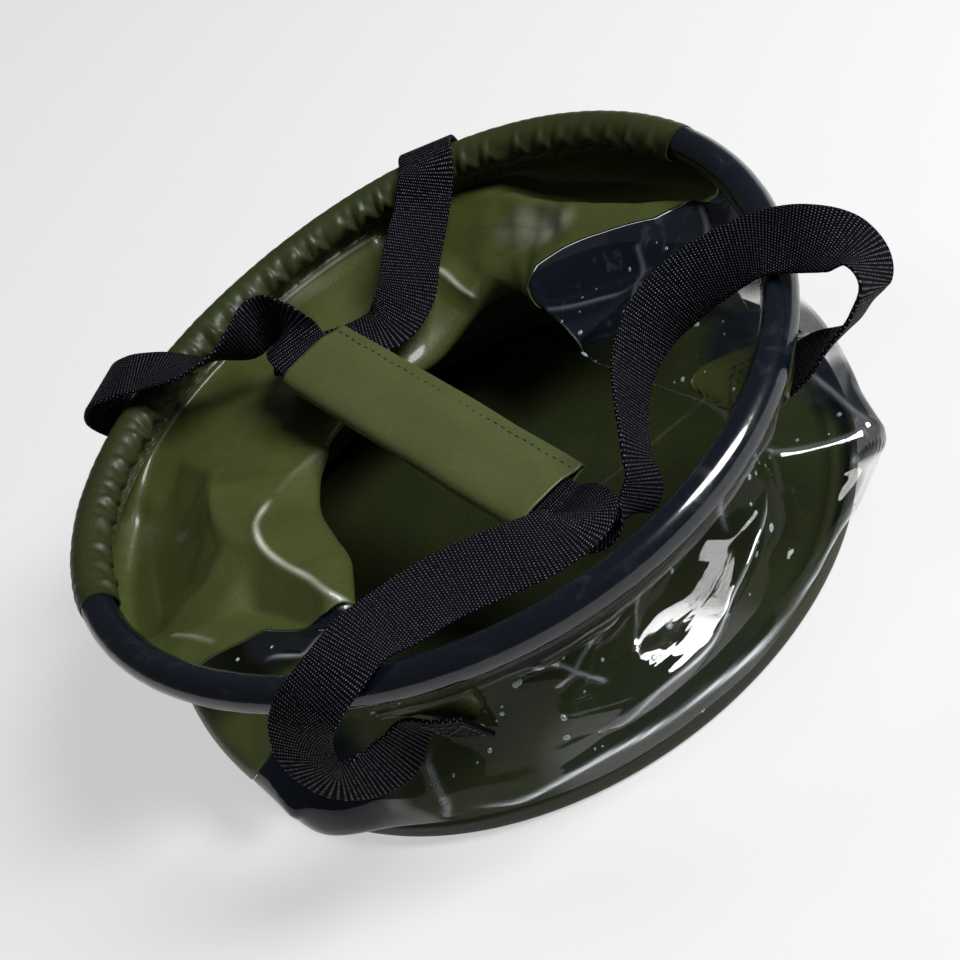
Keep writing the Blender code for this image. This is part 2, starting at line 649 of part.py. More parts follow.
def build():
    clear_scene()
    olive = material("olive_cloth", (0.085, 0.105, 0.030), 0.34)
    olive_base = material("olive_base", (0.070, 0.088, 0.026), 0.40)
    clear = material("clear_sheet", (0.55, 0.66, 0.66), 0.08, 0.25)
    black = material("black_hoop", (0.010, 0.011, 0.014), 0.30)
    webbing = material("black_webbing", (0.012, 0.012, 0.014), 0.75)
    thread = material("black_thread", (0.008, 0.008, 0.009), 0.70)

    edge_in = BASE_R - 0.0010
    lathe("base_panel", ((0, 0), (BASE_R, 0), (BASE_R, BASE_EDGE_H), (edge_in, BASE_EDGE_H),
                         (edge_in, BASE_T), (0, BASE_T)), 72, olive_base)
    wall_panel("wall_olive", SEAM_RIGHT, 0.0, SEAM_LEFT, 0.0, 40, olive)
    wall_panel("wall_clear", SEAM_LEFT, -360.0, SEAM_RIGHT, 0.0, 42, clear)
    hoop_ring("rim_hoop", 72, 10, black)
    trim = math.degrees(GAP / HOOP_R) / 2
    hem_sleeve("rim_hem_olive", HEM_SEAM_RIGHT + trim, HEM_SEAM_LEFT - trim, 36, olive)
    hem_sleeve("rim_hem_clear", HEM_SEAM_LEFT + trim, HEM_SEAM_RIGHT + 360 - trim, 44, clear)
    for where, nodes in leg_nodes().items():
        deg = ANCHORS[where]
        frames = smooth_path(nodes, 0.0045)
        anchor_patch("patch_" + where, deg, olive)
        box_stitch("box_stitch_" + where, frames, wall_normal(deg, SEW_LOW), thread)
        ribbon("strap_leg_" + where, frames, WEB_W, WEB_T, webbing)
    webbing_core("strap_core_upper", 1, webbing)
    webbing_core("strap_core_lower", -1, webbing)
    grip_wrap("grip_wrap", olive)
    grip_stitch("grip_stitch", thread)


build()
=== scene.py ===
"""Looks of the half-folded collapsible bucket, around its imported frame. Metres, +Z up."""
import math

import bmesh
import bpy
import numpy as np
from mathutils import Matrix, Vector, geometry, noise


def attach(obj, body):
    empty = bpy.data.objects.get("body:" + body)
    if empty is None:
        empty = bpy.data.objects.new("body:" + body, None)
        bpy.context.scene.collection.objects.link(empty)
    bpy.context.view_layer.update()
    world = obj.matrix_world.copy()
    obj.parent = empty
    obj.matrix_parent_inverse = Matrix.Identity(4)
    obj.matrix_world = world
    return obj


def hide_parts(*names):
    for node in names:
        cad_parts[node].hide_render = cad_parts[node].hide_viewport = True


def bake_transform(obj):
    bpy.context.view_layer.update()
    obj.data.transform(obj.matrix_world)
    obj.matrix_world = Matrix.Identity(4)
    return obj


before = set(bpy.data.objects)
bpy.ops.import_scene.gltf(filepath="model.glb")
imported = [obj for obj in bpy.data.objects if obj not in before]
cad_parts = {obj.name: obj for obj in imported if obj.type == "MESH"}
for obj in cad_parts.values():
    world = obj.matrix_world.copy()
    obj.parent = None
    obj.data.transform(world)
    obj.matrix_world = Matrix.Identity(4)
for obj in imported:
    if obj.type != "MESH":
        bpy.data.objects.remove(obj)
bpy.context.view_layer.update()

MM = 0.001
UP = Vector((0, 0, 1))
MEAN_R = 0.14          # of the wall, roughly
CLOTH_T = 0.0007       # of the coated cloth, as it is drawn

# The sizes that part.py builds with too
BASE_R = 0.1414
BASE_EDGE_H = 0.0080
BASE_T = 0.0012
WALL_T = 0.0010
WALL_FOOT_R = 0.1393
WALL_FOOT_Z = 0.0018
FOOT_TOP_Z = 0.0092     # where the wall comes free of the base's edge
HOOP_R = 0.1475        # centre line of the rim hoop
HOOP_Z = 0.0920
HOOP_LOBE = 0.0037     # the hoop is pulled out of round by this much, three times round
HOOP_LOBE_AT = 38.0    # degrees
HOOP_ROD_R = 0.0062
SLEEVE_R = 0.0075      # outside of the hem round the hoop
TAIL_DROP = 0.0120     # hem tail below the hoop's centre
WEB_W = 0.0250
WEB_T = 0.0016
PATCH_W = 0.0380
PATCH_T = 0.0010
GRIP_W = 0.0360
CORE_GAP = 0.0004
CORE_END = 0.0007      # the webbing in the grip sticks out this far
GAP = 0.0003           # between pieces that touch
LEG_END = CORE_END + GAP
LAY = 0.0007           # between a curved sheet and what is sewn on it
# Where the wall changes from olive to clear: (level, angle). Levels go from 0 at the foot to 6 in the hem
SEAM_RIGHT = ((0, 9), (1, 9), (2, 12), (3, 20), (4, 32), (4.3, 37), (4.56, 34),
              (4.77, 27), (5, 18), (5.3, 7), (5.5, 4.5), (6, 4.5))
SEAM_LEFT = ((0, 184), (1, 184), (2, 190), (3, 199), (4, 208), (4.5, 205), (5, 196),
             (5.5, 191), (6, 189))
HEM_SEAM_RIGHT = 9.0
HEM_SEAM_LEFT = 171.0
HEM_HANG = np.array((0.0, 0.016))
HEM_RISE = 0.015       # of the wall inside the hem, for one level
HEM_TUCK = 0.0016      # how far the wall steps in under the hem
# Wall as folded: angle, then radius and height (mm) of the low bulge, the outward crease, the
# inward tip and the upper slope, which are levels 2 to 5
STATIONS = (
    (-152, (153, 15), (147, 35), (88, 59), (115, 70)),
    (-140, (147, 16), (146, 34), (110, 59), (127, 70)),
    (-128, (146, 15), (147, 32), (130, 57), (137, 70)),
    (-112, (146, 13), (147, 28), (146, 48), (145, 65)),
    (-90, (147, 13), (146, 27), (153, 41), (147, 61)),
    (-70, (147, 14), (149, 29), (147, 47), (145, 64)),
    (-58, (148, 17), (156, 33), (130, 56), (137, 69)),
    (-48, (150, 18), (163, 36), (112, 58), (127, 70)),
    (-36, (145, 18), (152, 38), (86, 59), (114, 71)),
    (-15, (142, 20), (142, 39), (64, 60), (104, 72)),
    (12, (141, 20), (139, 39), (66, 60), (106, 72)),
    (34, (141, 20), (138, 38), (80, 59), (112, 71)),
    (53, (141, 18), (135, 32), (103, 52), (125, 69)),
    (74, (141, 16), (131, 28), (88, 43), (121, 66)),
    (96, (141, 20), (138, 35), (77, 54), (112, 69)),
    (121, (141, 20), (140, 39), (70, 60), (107, 72)),
    (150, (141, 20), (141, 39), (66, 60), (105, 72)),
    (180, (142, 20), (142, 39), (64, 60), (104, 72)),
    (194, (145, 18), (144, 38), (68, 60), (106, 72)),
)
ROUNDNESS = (1.0, 1.0, 0.9, 0.7, 1.3, 0.9, 1.0)    # of the turn at each level
GRIP_LEFT = Vector((-0.021, 0.073, 0.0900))
GRIP_RIGHT = Vector((0.006, -0.064, 0.0630))
GRIP_ACROSS = Vector((0.98, 0.19, 0.0))
ANCHORS = {"back_right": 58.0, "back_left": 122.0, "front_right": -46.0, "front_left": -122.0}
STAND = {"back_right": 0.0001, "back_left": 0.0003, "front_right": 0.0014, "front_left": 0.0028}
STRAP_LIFT = WALL_T / 2 + LAY + PATCH_T + GAP + WEB_T / 2
SEW_LOW, SEW_HIGH = 4.74, 5.46      # the sewn end of each leg, in levels

RANDOM = np.random.default_rng(7)


# Camera, floor and light

CAM_AZ, CAM_EL, CAM_ROLL = -8.0, 37.3, -34.1
CAM_DIST = 0.8
CAM_TARGET = Vector((-0.0102, -0.0645, 0.092))
LENS_PX = 2219.0
PHOTO_PX = 960.0


def new_object(name, data):
    obj = bpy.data.objects.new(name, data)
    bpy.context.scene.collection.objects.link(obj)
    return obj


def add_camera():
    az, el, roll = (math.radians(a) for a in (CAM_AZ, CAM_EL, CAM_ROLL))
    back = Vector((math.sin(az) * math.cos(el), -math.cos(az) * math.cos(el), math.sin(el)))
    right = Vector((math.cos(az), math.sin(az), 0))
    up = back.cross(right)
    x = right * math.cos(roll) + up * math.sin(roll)
    y = up * math.cos(roll) - right * math.sin(roll)
    place = Matrix((x, y, back)).transposed().to_4x4()
    place.translation = CAM_TARGET + back * CAM_DIST
    data = bpy.data.cameras.new("camera")
    data.sensor_width = 36.0
    data.lens = LENS_PX / PHOTO_PX * data.sensor_width
    cam = new_object("camera", data)
    cam.matrix_world = place
    bpy.context.scene.camera = cam


def add_light(name, azimuth, elevation, distance, size, power, colour=(1.0, 1.0, 1.0)):
    az, el = math.radians(azimuth), math.radians(elevation)
    way = Vector((math.cos(az) * math.cos(el), math.sin(az) * math.cos(el), math.sin(el)))
    data = bpy.data.lights.new(name, "AREA")
    data.shape = "ELLIPSE"
    data.size, data.size_y = size
    data.energy = power
    data.color = colour
    light = new_object(name, data)
    light.location = way * distance + Vector((0, 0, 0.06))
    light.rotation_euler = (-way).to_track_quat("-Z", "Y").to_euler()
    return light


def add_studio():
    scene = bpy.context.scene
    scene.view_settings.view_transform = "Standard"
    world = bpy.data.worlds.new("studio")
    world.use_nodes = True
    sky = world.node_tree.nodes["Background"]
    sky.inputs["Color"].default_value = (0.93, 0.96, 1.0, 1.0)
    sky.inputs["Strength"].default_value = 0.08
    scene.world = world
    add_light("key", azimuth=-34.0, elevation=46.0, distance=1.7, size=(0.62, 1.05), power=43.0)
    rim = add_light("rim", azimuth=120.0, elevation=50.0, distance=2.6, size=(0.9, 0.9), power=8.0,
                    colour=(0.92, 0.96, 1.0))
    rim.visible_glossy = False     # its mirror image would streak the folded film
    half = 3.0
    mesh = bpy.data.meshes.new("floor")
    mesh.from_pydata([(-half, -half, 0), (half, -half, 0), (half, half, 0), (-half, half, 0)],
                     [], [(0, 1, 2, 3)])
    mat = bpy.data.materials.new("floor")
    mat.use_nodes = True
    bsdf = mat.node_tree.nodes["Principled BSDF"]
    bsdf.inputs["Base Color"].default_value = (0.31, 0.31, 0.31, 1.0)
    bsdf.inputs["Roughness"].default_value = 0.9
    mesh.materials.append(mat)
    floor = new_object("floor", mesh)
    # an even light for the floor alone, so that its shadows stay pale
    wash = bpy.data.lights.new("floor_wash", "SUN")
    wash.energy = 5.0
    wash.use_shadow = False
    lamp = new_object("floor_wash", wash)
    lamp.location = (0.0, 0.0, 1.5)
    only_floor = bpy.data.collections.new("floor_only")
    only_floor.objects.link(floor)
    lamp.light_linking.receiver_collection = only_floor


# Materials

class Graph:
    """Short hand for one material's nodes."""

    def __init__(self, name, colour, **sockets):
        self.mat = bpy.data.materials.new(name)
        self.mat.use_nodes = True
        self.tree = self.mat.node_tree
        self.bsdf = self.tree.nodes["Principled BSDF"]
        self.put(self.bsdf, "Base Color", (*colour, 1.0))
        for key, value in sockets.items():
            self.put(self.bsdf, key.replace("_", " "), value)

    def put(self, node, socket, value):
        if isinstance(value, bpy.types.NodeSocket):
            self.tree.links.new(value, node.inputs[socket])
        else:
            node.inputs[socket].default_value = value

    def add(self, kind, settings=None, **sockets):
        node = self.tree.nodes.new(kind)
        for key, value in (settings or {}).items():
            setattr(node, key, value)
        for key, value in sockets.items():
            self.put(node, key.replace("_", " "), value)
        return node

    def math(self, operation, a, b=0.0, clamp=False):
        node = self.add("ShaderNodeMath", {"operation": operation, "use_clamp": clamp})
        self.put(node, 0, a)
        self.put(node, 1, b)
        return node.outputs[0]

    def uv(self):
        node = self.add("ShaderNodeUVMap", {"uv_map": "UVMap"})
        split = self.add("ShaderNodeSeparateXYZ", Vector=node.outputs[0])
        return node.outputs[0], split.outputs[0], split.outputs[1]

    def noise(self, vector, scale, detail=2.0, rough=0.5, distortion=0.0):
        return self.add("ShaderNodeTexNoise", Vector=vector, Scale=scale, Detail=detail,
                        Roughness=rough, Distortion=distortion).outputs["Fac"]

    def times(self, a, b):
        return self.math("MULTIPLY", a, b)

    def plus(self, a, b):
        return self.math("ADD", a, b)

    def place(self):
        return self.add("ShaderNodeTexCoord").outputs["Object"]

    def spread(self, value, low, high, out_low=0.0, out_high=1.0):
        node = self.add("ShaderNodeMapRange", {"clamp": True, "interpolation_type": "SMOOTHSTEP"})
        for i, x in enumerate((value, low, high, out_low, out_high)):
            self.put(node, i, x)
        return node.outputs[0]

    def mix(self, factor, a, b):
        node = self.add("ShaderNodeMix", {"data_type": "RGBA"})
        self.put(node, 0, factor)
        for socket, value in ((6, a), (7, b)):
            self.put(node, socket, value if isinstance(value, bpy.types.NodeSocket) else (*value, 1.0))
        return node.outputs[2]

    def bump(self, height, distance, strength=1.0, below=None):
        node = self.add("ShaderNodeBump", Height=height, Distance=distance, Strength=strength)
        if below is not None:
            self.put(node, "Normal", below)
        return node.outputs[0]

    def attribute(self, name):
        return self.add("ShaderNodeAttribute", {"attribute_name": name}).outputs["Fac"]

    def set(self, socket, value):
        self.put(self.bsdf, socket, value)


def wave01(g, coordinate, pitch, phase=0.0):
    """A sine wave along a coordinate, from 0 to 1."""
    turn = g.plus(g.times(coordinate, 2 * math.pi / pitch), phase)
    return g.plus(g.times(g.math("SINE", turn), 0.5), 0.5)


def coated_cloth(name, colour, dark, light, roughness, coat):
    """Cloth with a satin coating: fine weave under it, blotches, creases whitened by stress and by painted
    highlights, specks.
    """
    g = Graph(name, colour, Roughness=roughness, Specular_IOR_Level=0.22,
              Coat_Weight=coat, Coat_Roughness=0.13)
    vector, u, v = g.uv()
    blotch = g.spread(g.noise(vector, 26.0, 3.0, 0.55), 0.34, 0.68)
    fine = g.noise(vector, 620.0, 3.0, 0.6)
    base = g.mix(blotch, dark, colour)
    base = g.mix(g.times(fine, 0.35), base, light)
    painted_highlight_and_whitening = g.attribute("crease")
    # painted highlights and stress whitening along the creases, and painted sheen patches, lighten the
    # colour here
    base = g.mix(g.math("POWER", painted_highlight_and_whitening, 1.5), base, (0.50, 0.52, 0.44))
    specks = g.spread(g.noise(vector, 1500.0, 1.0), 0.72, 0.78)
    base = g.mix(g.times(specks, 0.25), base, (0.24, 0.27, 0.18))
    g.set("Base Color", base)
    g.set("Roughness", g.spread(fine, 0.3, 0.7, roughness - 0.05, roughness + 0.09))
    yarn = 0.00062
    weave = g.times(wave01(g, u, yarn), wave01(g, v, yarn))
    normal = g.bump(weave, 0.00003, 0.7)
    normal = g.bump(g.noise(vector, 380.0, 2.0, 0.6), 0.00022, 0.5, normal)
    normal = g.bump(g.noise(vector, 70.0, 2.0, 0.5), 0.0008, 0.30, normal)
    g.set("Normal", normal)
    return g.mat


def film(name, index, least, rising, specular, roughness, waviness):
    """Clear sheet: it shows by its gloss, and by its own colour edge-on, along its creases with their
    painted highlights, and where it is darkened: painted shade on the wall, the black hoop behind it in the
    hem.
    """
    tint = (0.003, 0.005, 0.010)
    g = Graph(name, tint, IOR=index)
    vector, _, _ = g.uv()
    painted_highlight_and_whitening = g.attribute("crease")
    smear = g.spread(g.noise(vector, 60.0, 4.0, 0.6, 1.5), 0.55, 0.75)
    # painted highlights along the film's creases make it whitish and more opaque
    base = g.mix(painted_highlight_and_whitening, tint, (0.78, 0.84, 0.88))
    g.set("Base Color", g.mix(g.times(smear, 0.05), base, (0.40, 0.46, 0.48)))
    edge = g.add("ShaderNodeLayerWeight", Blend=0.32).outputs["Facing"]
    cover = g.plus(g.times(g.math("POWER", edge, 2.0), rising), least)
    # the dark attribute: painted shade on the wall's film; in the hem, the black hoop behind the film
    cover = g.math("MAXIMUM", cover, g.attribute("dark"))
    g.set("Specular IOR Level", g.spread(cover, least, 0.90, specular, 0.06))
    cover = g.math("ADD", cover, painted_highlight_and_whitening, clamp=True)
    g.set("Alpha", cover)
    g.set("Roughness", g.spread(smear, 0.0, 1.0, roughness, roughness + 0.10))
    normal = g.bump(g.noise(vector, 70.0, 3.0, 0.55, 0.6), 0.0016 * waviness, 0.35)
    g.set("Normal", g.bump(g.noise(vector, 260.0, 2.0, 0.5), 0.0002 * waviness, 0.4, normal))
    return g.mat


def webbing_weave(name):
    """Ribbed webbing: rows of short glossy floats across it, over dull black yarn."""
    g = Graph(name, (0.010, 0.010, 0.013))
    vector, u, v = g.uv()
    rib, float_pitch = 0.00135, 0.00105
    row = g.math("FLOOR", g.times(v, 1 / rib))
    odd = g.times(g.math("MODULO", row, 2.0), math.pi)
    dash = wave01(g, u, float_pitch, odd)
    ribs = wave01(g, v, rib, -math.pi / 2)
    height = g.times(g.plus(g.times(dash, 0.75), 0.25), ribs)
    top = g.spread(height, 0.42, 0.88)
    uneven = g.noise(vector, 700.0, 2.0, 0.6)
    top = g.times(top, g.spread(uneven, 0.30, 0.62, 0.30, 1.0))
    g.set("Base Color", g.mix(top, (0.0025, 0.0025, 0.0045), (0.050, 0.051, 0.060)))
    g.set("Specular IOR Level", g.spread(top, 0.15, 1.0, 0.02, 1.0))
    g.set("Roughness", g.spread(top, 0.0, 1.0, 0.7, 0.34))
    g.set("Normal", g.bump(height, 0.00045, 0.9))
    return g.mat


def hoop_plastic(name):
    g = Graph(name, (0.003, 0.004, 0.008), IOR=1.5)
    coords = g.place()
    fine = g.noise(coords, 700.0, 3.0, 0.6)
    g.set("Base Color", g.mix(g.noise(coords, 40.0), (0.002, 0.003, 0.005), (0.006, 0.007, 0.012)))
    g.set("Roughness", g.spread(fine, 0.3, 0.7, 0.19, 0.26))
    g.set("Normal", g.bump(g.noise(coords, 60.0, 2.0), 0.0002, 0.2))
    return g.mat


def thread(name):
    colour = (0.006, 0.006, 0.007)
    g = Graph(name, colour, Roughness=0.55)
    coords = g.place()
    twist = g.noise(coords, 2600.0, 1.0)
    g.set("Base Color", g.mix(twist, colour, (0.014, 0.014, 0.016)))
    g.set("Normal", g.bump(twist, 0.0001, 0.6))
    return g.mat


def water(name):
    g = Graph(name, (0.55, 0.62, 0.66), Roughness=0.04, IOR=2.2)
    coords = g.place()
    edge = g.add("ShaderNodeLayerWeight", Blend=0.35).outputs["Facing"]
    g.set("Alpha", g.plus(g.times(edge, 0.4), 0.24))
    # the drops' whitish colour is a painted glint; their gloss is real
    g.set("Base Color", g.mix(g.noise(coords, 300.0), (0.40, 0.46, 0.50), (0.62, 0.68, 0.72)))
    return g.mat


# Shapes

def hermite(p0, p1, m0, m1, t):
    a = 2 * t**3 - 3 * t**2 + 1
    b = t**3 - 2 * t**2 + t
    c = -2 * t**3 + 3 * t**2
    d = t**3 - t**2
    return a * p0 + b * m0 + c * p1 + d * m1


def rough(x, y, z):
    """Smooth seeded noise, from about -1 to 1."""
    return noise.noise(Vector((x, y, z)))


def smooth01(x):
    x = np.clip(x, 0.0, 1.0)
    return x * x * (3 - 2 * x)


def hoop_radius(deg):
    return HOOP_R + HOOP_LOBE * math.cos(3 * math.radians(deg - HOOP_LOBE_AT))


def level_value(deg, level, axis):
    rows = [(s[0], s[1 + level][axis]) for s in STATIONS]
    count = len(rows)
    turned = (deg - rows[0][0]) % 360.0 + rows[0][0]
    i = count - 1
    while rows[i][0] > turned:
        i -= 1

    def at(k):
        turns, index = divmod(k, count)
        return rows[index][0] + 360.0 * turns, rows[index][1]

    (ta, va), (tb, vb), (tc, vc), (td, vd) = at(i - 1), at(i), at(i + 1), at(i + 2)
    span = tc - tb
    slope_b = 0.5 * ((vb - va) / (tb - ta) + (vc - vb) / span) * span
    slope_c = 0.5 * ((vc - vb) / span + (vd - vc) / (td - tc)) * span
    return hermite(vb, vc, slope_b, slope_c, (turned - tb) / span)


def wall_levels(deg):
    levels = [(WALL_FOOT_R, WALL_FOOT_Z), (WALL_FOOT_R, FOOT_TOP_Z)]
    for level in range(4):
        levels.append((level_value(deg, level, 0) * MM, level_value(deg, level, 1) * MM))
    levels.append((hoop_radius(deg), HOOP_Z - TAIL_DROP - LAY))
    return np.array(levels)


def wall_line(deg, s):
    """Points (n, 3) of the wall at one angle, for an array s from 0 (foot) to 6.4 (in the hem)."""
    pts = wall_levels(deg)
    low = np.clip(s.astype(int), 0, 5)
    t = np.minimum(s, 6.0) - low
    before = pts[np.maximum(low - 1, 0)]
    after = pts[np.minimum(low + 2, 6)]
    rounds = np.array(ROUNDNESS)
    m0 = (pts[low + 1] - before) * 0.5 * rounds[low][:, None]
    m1 = (after - pts[low]) * 0.5 * rounds[low + 1][:, None]
    m1[low == 5] = HEM_HANG
    rz = hermite(pts[low], pts[low + 1], m0, m1, t[:, None])
    rz[:, 1] += np.maximum(s - 6.0, 0.0) * HEM_RISE
    rz[:, 0] -= smooth01((s - 5.75) / 0.25) * HEM_TUCK
    a = math.radians(deg)
    return np.stack([rz[:, 0] * math.cos(a), rz[:, 0] * math.sin(a), rz[:, 1]], axis=1)


def wall_place(deg, s):
    return wall_line(deg, np.array([float(s)]))[0]


def wall_point(deg, s):
    return Vector(wall_place(deg, s))


def wall_normal(deg, s):
    step = 0.02
    along = wall_point(deg, s + step) - wall_point(deg, max(s - step, 0.0))
    round_it = wall_point(deg + 0.2, s) - wall_point(deg - 0.2, s)
    return round_it.cross(along).normalized()


def grid_normals(pts):
    du = np.gradient(pts, axis=0)
    dv = np.gradient(pts, axis=1)
    n = np.cross(du, dv)
    return n / np.maximum(np.linalg.norm(n, axis=2, keepdims=True), 1e-12)


def mesh_object(name, verts, faces, mat, uvs=None, attributes=None):
    """uvs: one pair for each vertex; attributes: one number for each vertex, by name."""
    mesh = bpy.data.meshes.new(name)
    mesh.from_pydata([tuple(v) for v in verts], [], [tuple(int(i) for i in f) for f in faces])
    mesh.update()
    for poly in mesh.polygons:
        poly.use_smooth = True
    if uvs is not None:
        layer = mesh.uv_layers.new(name="UVMap")
        index = np.empty(len(mesh.loops), np.int32)
        mesh.loops.foreach_get("vertex_index", index)
        layer.data.foreach_set("uv", np.asarray(uvs, np.float32)[index].ravel())
    for key, values in (attributes or {}).items():
        data = mesh.attributes.new(key, "FLOAT", "POINT")
        data.data.foreach_set("value", np.asarray(values, np.float32).ravel())
    mesh.materials.append(mat)
    return new_object(name, mesh)


def grid_sheet(name, pts, uvs, mat, thickness=0.0, attributes=None):
    """Sheet over a grid of points (rows, columns, 3): one face thick, or closed."""
    rows, cols = pts.shape[:2]
    ids = np.arange(rows * cols).reshape(rows, cols)
    quads = np.stack([ids[:-1, :-1], ids[1:, :-1], ids[1:, 1:], ids[:-1, 1:]], axis=2).reshape(-1, 4)
    flat_uv = uvs.reshape(-1, 2)
    extra = {key: values.ravel() for key, values in (attributes or {}).items()}
    if thickness == 0.0:
        return mesh_object(name, pts.reshape(-1, 3), quads, mat, flat_uv, extra)
    normal = grid_normals(pts)
    outer = (pts + normal * thickness / 2).reshape(-1, 3)
    inner = (pts - normal * thickness / 2).reshape(-1, 3)
    count = rows * cols
    faces = [quads, quads[:, ::-1] + count]
    edge = np.concatenate([ids[:, 0], ids[-1, 1:], ids[::-1, -1][1:], ids[0, ::-1][1:-1]])
    turned = np.roll(edge, -1)
    faces.append(np.stack([edge, edge + count, turned + count, turned], axis=1)[:, ::-1])
    extra = {key: np.concatenate([values, values]) for key, values in extra.items()}
    return mesh_object(name, np.concatenate([outer, inner]), np.concatenate(faces), mat,
                       np.concatenate([flat_uv, flat_uv]), extra)


# The walls' folds. Points are (angle, level) on the wall; heights are to the outside.

# Creases of the flat facets, as chains of (angle, level, height); 0 round their outside
LEFT_LUMP = (
    ((131.5, 5.97, 0), (145, 5.97, 0), (160, 5.97, 0), (174, 5.97, 0), (186, 5.97, 0), (200, 5.9, 0)),
    ((131.5, 5.97, 0), (131.5, 5.5, 0), (131.5, 5.0, 0), (131.5, 4.55, -2), (127, 4.12, -2.5),
     (124, 3.98, 0)),
    ((131.5, 5.5, 0), (136, 5.9, 3), (144, 5.92, 8), (153, 5.93, 10), (163, 5.93, 10), (171, 5.91, 6),
     (174.3, 5.6, 4)),
    ((136, 5.9, 3), (141, 5.84, 12), (152, 5.86, 19), (163, 5.85, 19), (170, 5.8, 12), (174.3, 5.6, 4)),
    ((136, 5.9, 3), (141, 5.58, 9), (152, 5.56, 13), (163, 5.54, 13), (169, 5.55, 9), (174.3, 5.6, 4)),
    ((141, 5.58, 9), (147, 5.4, 7.5), (157, 5.34, 7), (166, 5.32, 5), (171.8, 5.18, -2)),
    ((131.5, 5.0, 0), (138, 5.1, -5), (147, 5.0, -11), (157, 4.94, -12), (166, 4.86, -10),
     (174.5, 4.82, -5)),
    ((174.3, 5.6, 4), (172.2, 5.39, 0), (171.8, 5.18, -2), (174.5, 4.82, -5)),
    ((127, 4.12, -2.5), (141.4, 4.35, -5), (153.9, 4.51, -6.5), (164.6, 4.66, -9), (174, 4.68, -9),
     (190.2, 4.62, -8), (202.8, 4.46, -7), (208, 4.15, -3), (211, 3.98, 0)),
    ((174.5, 4.82, -5), (186, 4.95, 4), (199, 4.76, 4), (206, 4.56, 1)),
    ((174.3, 5.6, 4), (182.4, 5.25, 0), (190, 5.15, -1), (197.7, 4.98, -1), (206, 4.7, -1),
     (212, 4.4, 0)),
    ((174.3, 5.6, 4), (179, 5.54, -1), (184, 5.44, -3), (190, 5.36, -2), (196, 5.3, 0)),
    ((200, 5.9, 0), (209, 5.4, 0), (216, 4.9, 0), (218, 4.4, 0), (216, 3.98, 0)),
    ((124, 3.98, 0), (150, 3.98, 0), (170, 3.98, 0), (190, 3.98, 0), (211, 3.98, 0), (216, 3.98, 0)),
)
BACK_TONGUE = (
    ((62, 5.97, 0), (50, 5.97, 0), (35, 5.97, 0), (20, 5.97, 0), (6, 5.97, 0), (-8, 5.97, 0)),
    ((49, 5.74, 0), (43, 5.76, 8), (34, 5.76, 13), (22, 5.76, 14), (12, 5.78, 11), (4, 5.82, 7),
     (-4, 5.88, 1)),
    ((49, 5.56, 0), (43, 5.5, 9), (34, 5.45, 13), (22, 5.46, 14), (12, 5.54, 11), (4, 5.68, 6),
     (-1, 5.8, 2)),
    ((61.5, 5.8, 0), (58, 5.66, -3), (50, 5.42, -5), (42.7, 5.31, -6), (34.4, 5.25, -6), (24.4, 5.26, -6),
     (14.3, 5.34, -5), (6, 5.52, -3.5), (-2, 5.75, 0)),
    ((54, 4.45, -1.5), (47, 4.63, 1), (40.9, 4.8, 2.5), (36, 5.06, 1), (34.4, 5.25, -6)),
    ((38, 4.25, -1), (35, 4.55, -4), (27, 4.78, -4.5), (19.5, 4.96, -4.5), (6.5, 5.3, -4), (2, 5.48, -2),
     (-2, 5.75, 0)),
    ((29, 4.3, 3), (15, 4.62, 5), (2, 4.95, 5), (-8, 5.3, 2), (-14, 5.5, 0)),
    ((62, 5.97, 0), (64, 5.3, 0), (63, 4.7, 0), (60, 3.98, 0)),
    ((60, 3.98, 0), (45, 3.98, 0), (30, 3.98, 0), (15, 3.98, 0), (0, 4.1, 0), (-14, 4.7, 0), (-14, 5.5, 0),
     (-8, 5.97, 0)),
)
FRONT_SWAG = (
    ((-112, 5.97, 0), (-100, 5.97, 0), (-88, 5.97, 0), (-76, 5.97, 0), (-64, 5.97, 0), (-56, 5.97, 0)),
    ((-112, 5.5, 0), (-104, 5.5, -2), (-95, 5.5, -5), (-87, 5.5, -8), (-74, 5.5, -8), (-64, 5.5, -5),
     (-56, 5.5, 0)),
    ((-104, 5.5, -2), (-101, 5.1, 3), (-99, 4.6, 8), (-95, 4.3, 13.2)),
    ((-95, 4.3, 13.2), (-95, 4.85, 7.1), (-87, 5.2, -7.7), (-74, 5.05, -11.7), (-73, 4.75, -5.2),
     (-86, 4.2, 7.3), (-95, 4.3, 13.2)),
    ((-112, 3.95, 1), (-106, 3.92, 5), (-101, 4.0, 9), (-95, 4.3, 13.2)),
    ((-86, 4.2, 7.3), (-79, 4.35, 2), (-71, 4.4, 2), (-63, 4.2, 4), (-58, 3.85, 3), (-56, 3.75, 1)),
    ((-112, 3.4, 0), (-100, 3.45, -4), (-90, 3.5, -5), (-80, 3.6, -6), (-71, 3.75, -6), (-62, 3.45, -3),
     (-56, 3.3, 0)),
    ((-112, 2.9, 0), (-95, 2.9, 0), (-78, 2.9, 0), (-62, 2.9, 0), (-56, 2.9, 0)),
    ((-112, 5.97, 0), (-112, 5.5, 0), (-112, 3.95, 1), (-112, 3.4, 0), (-112, 2.9, 0)),
    ((-56, 5.97, 0), (-56, 5.5, 0), (-56, 3.75, 1), (-56, 3.3, 0), (-56, 2.9, 0)),
)
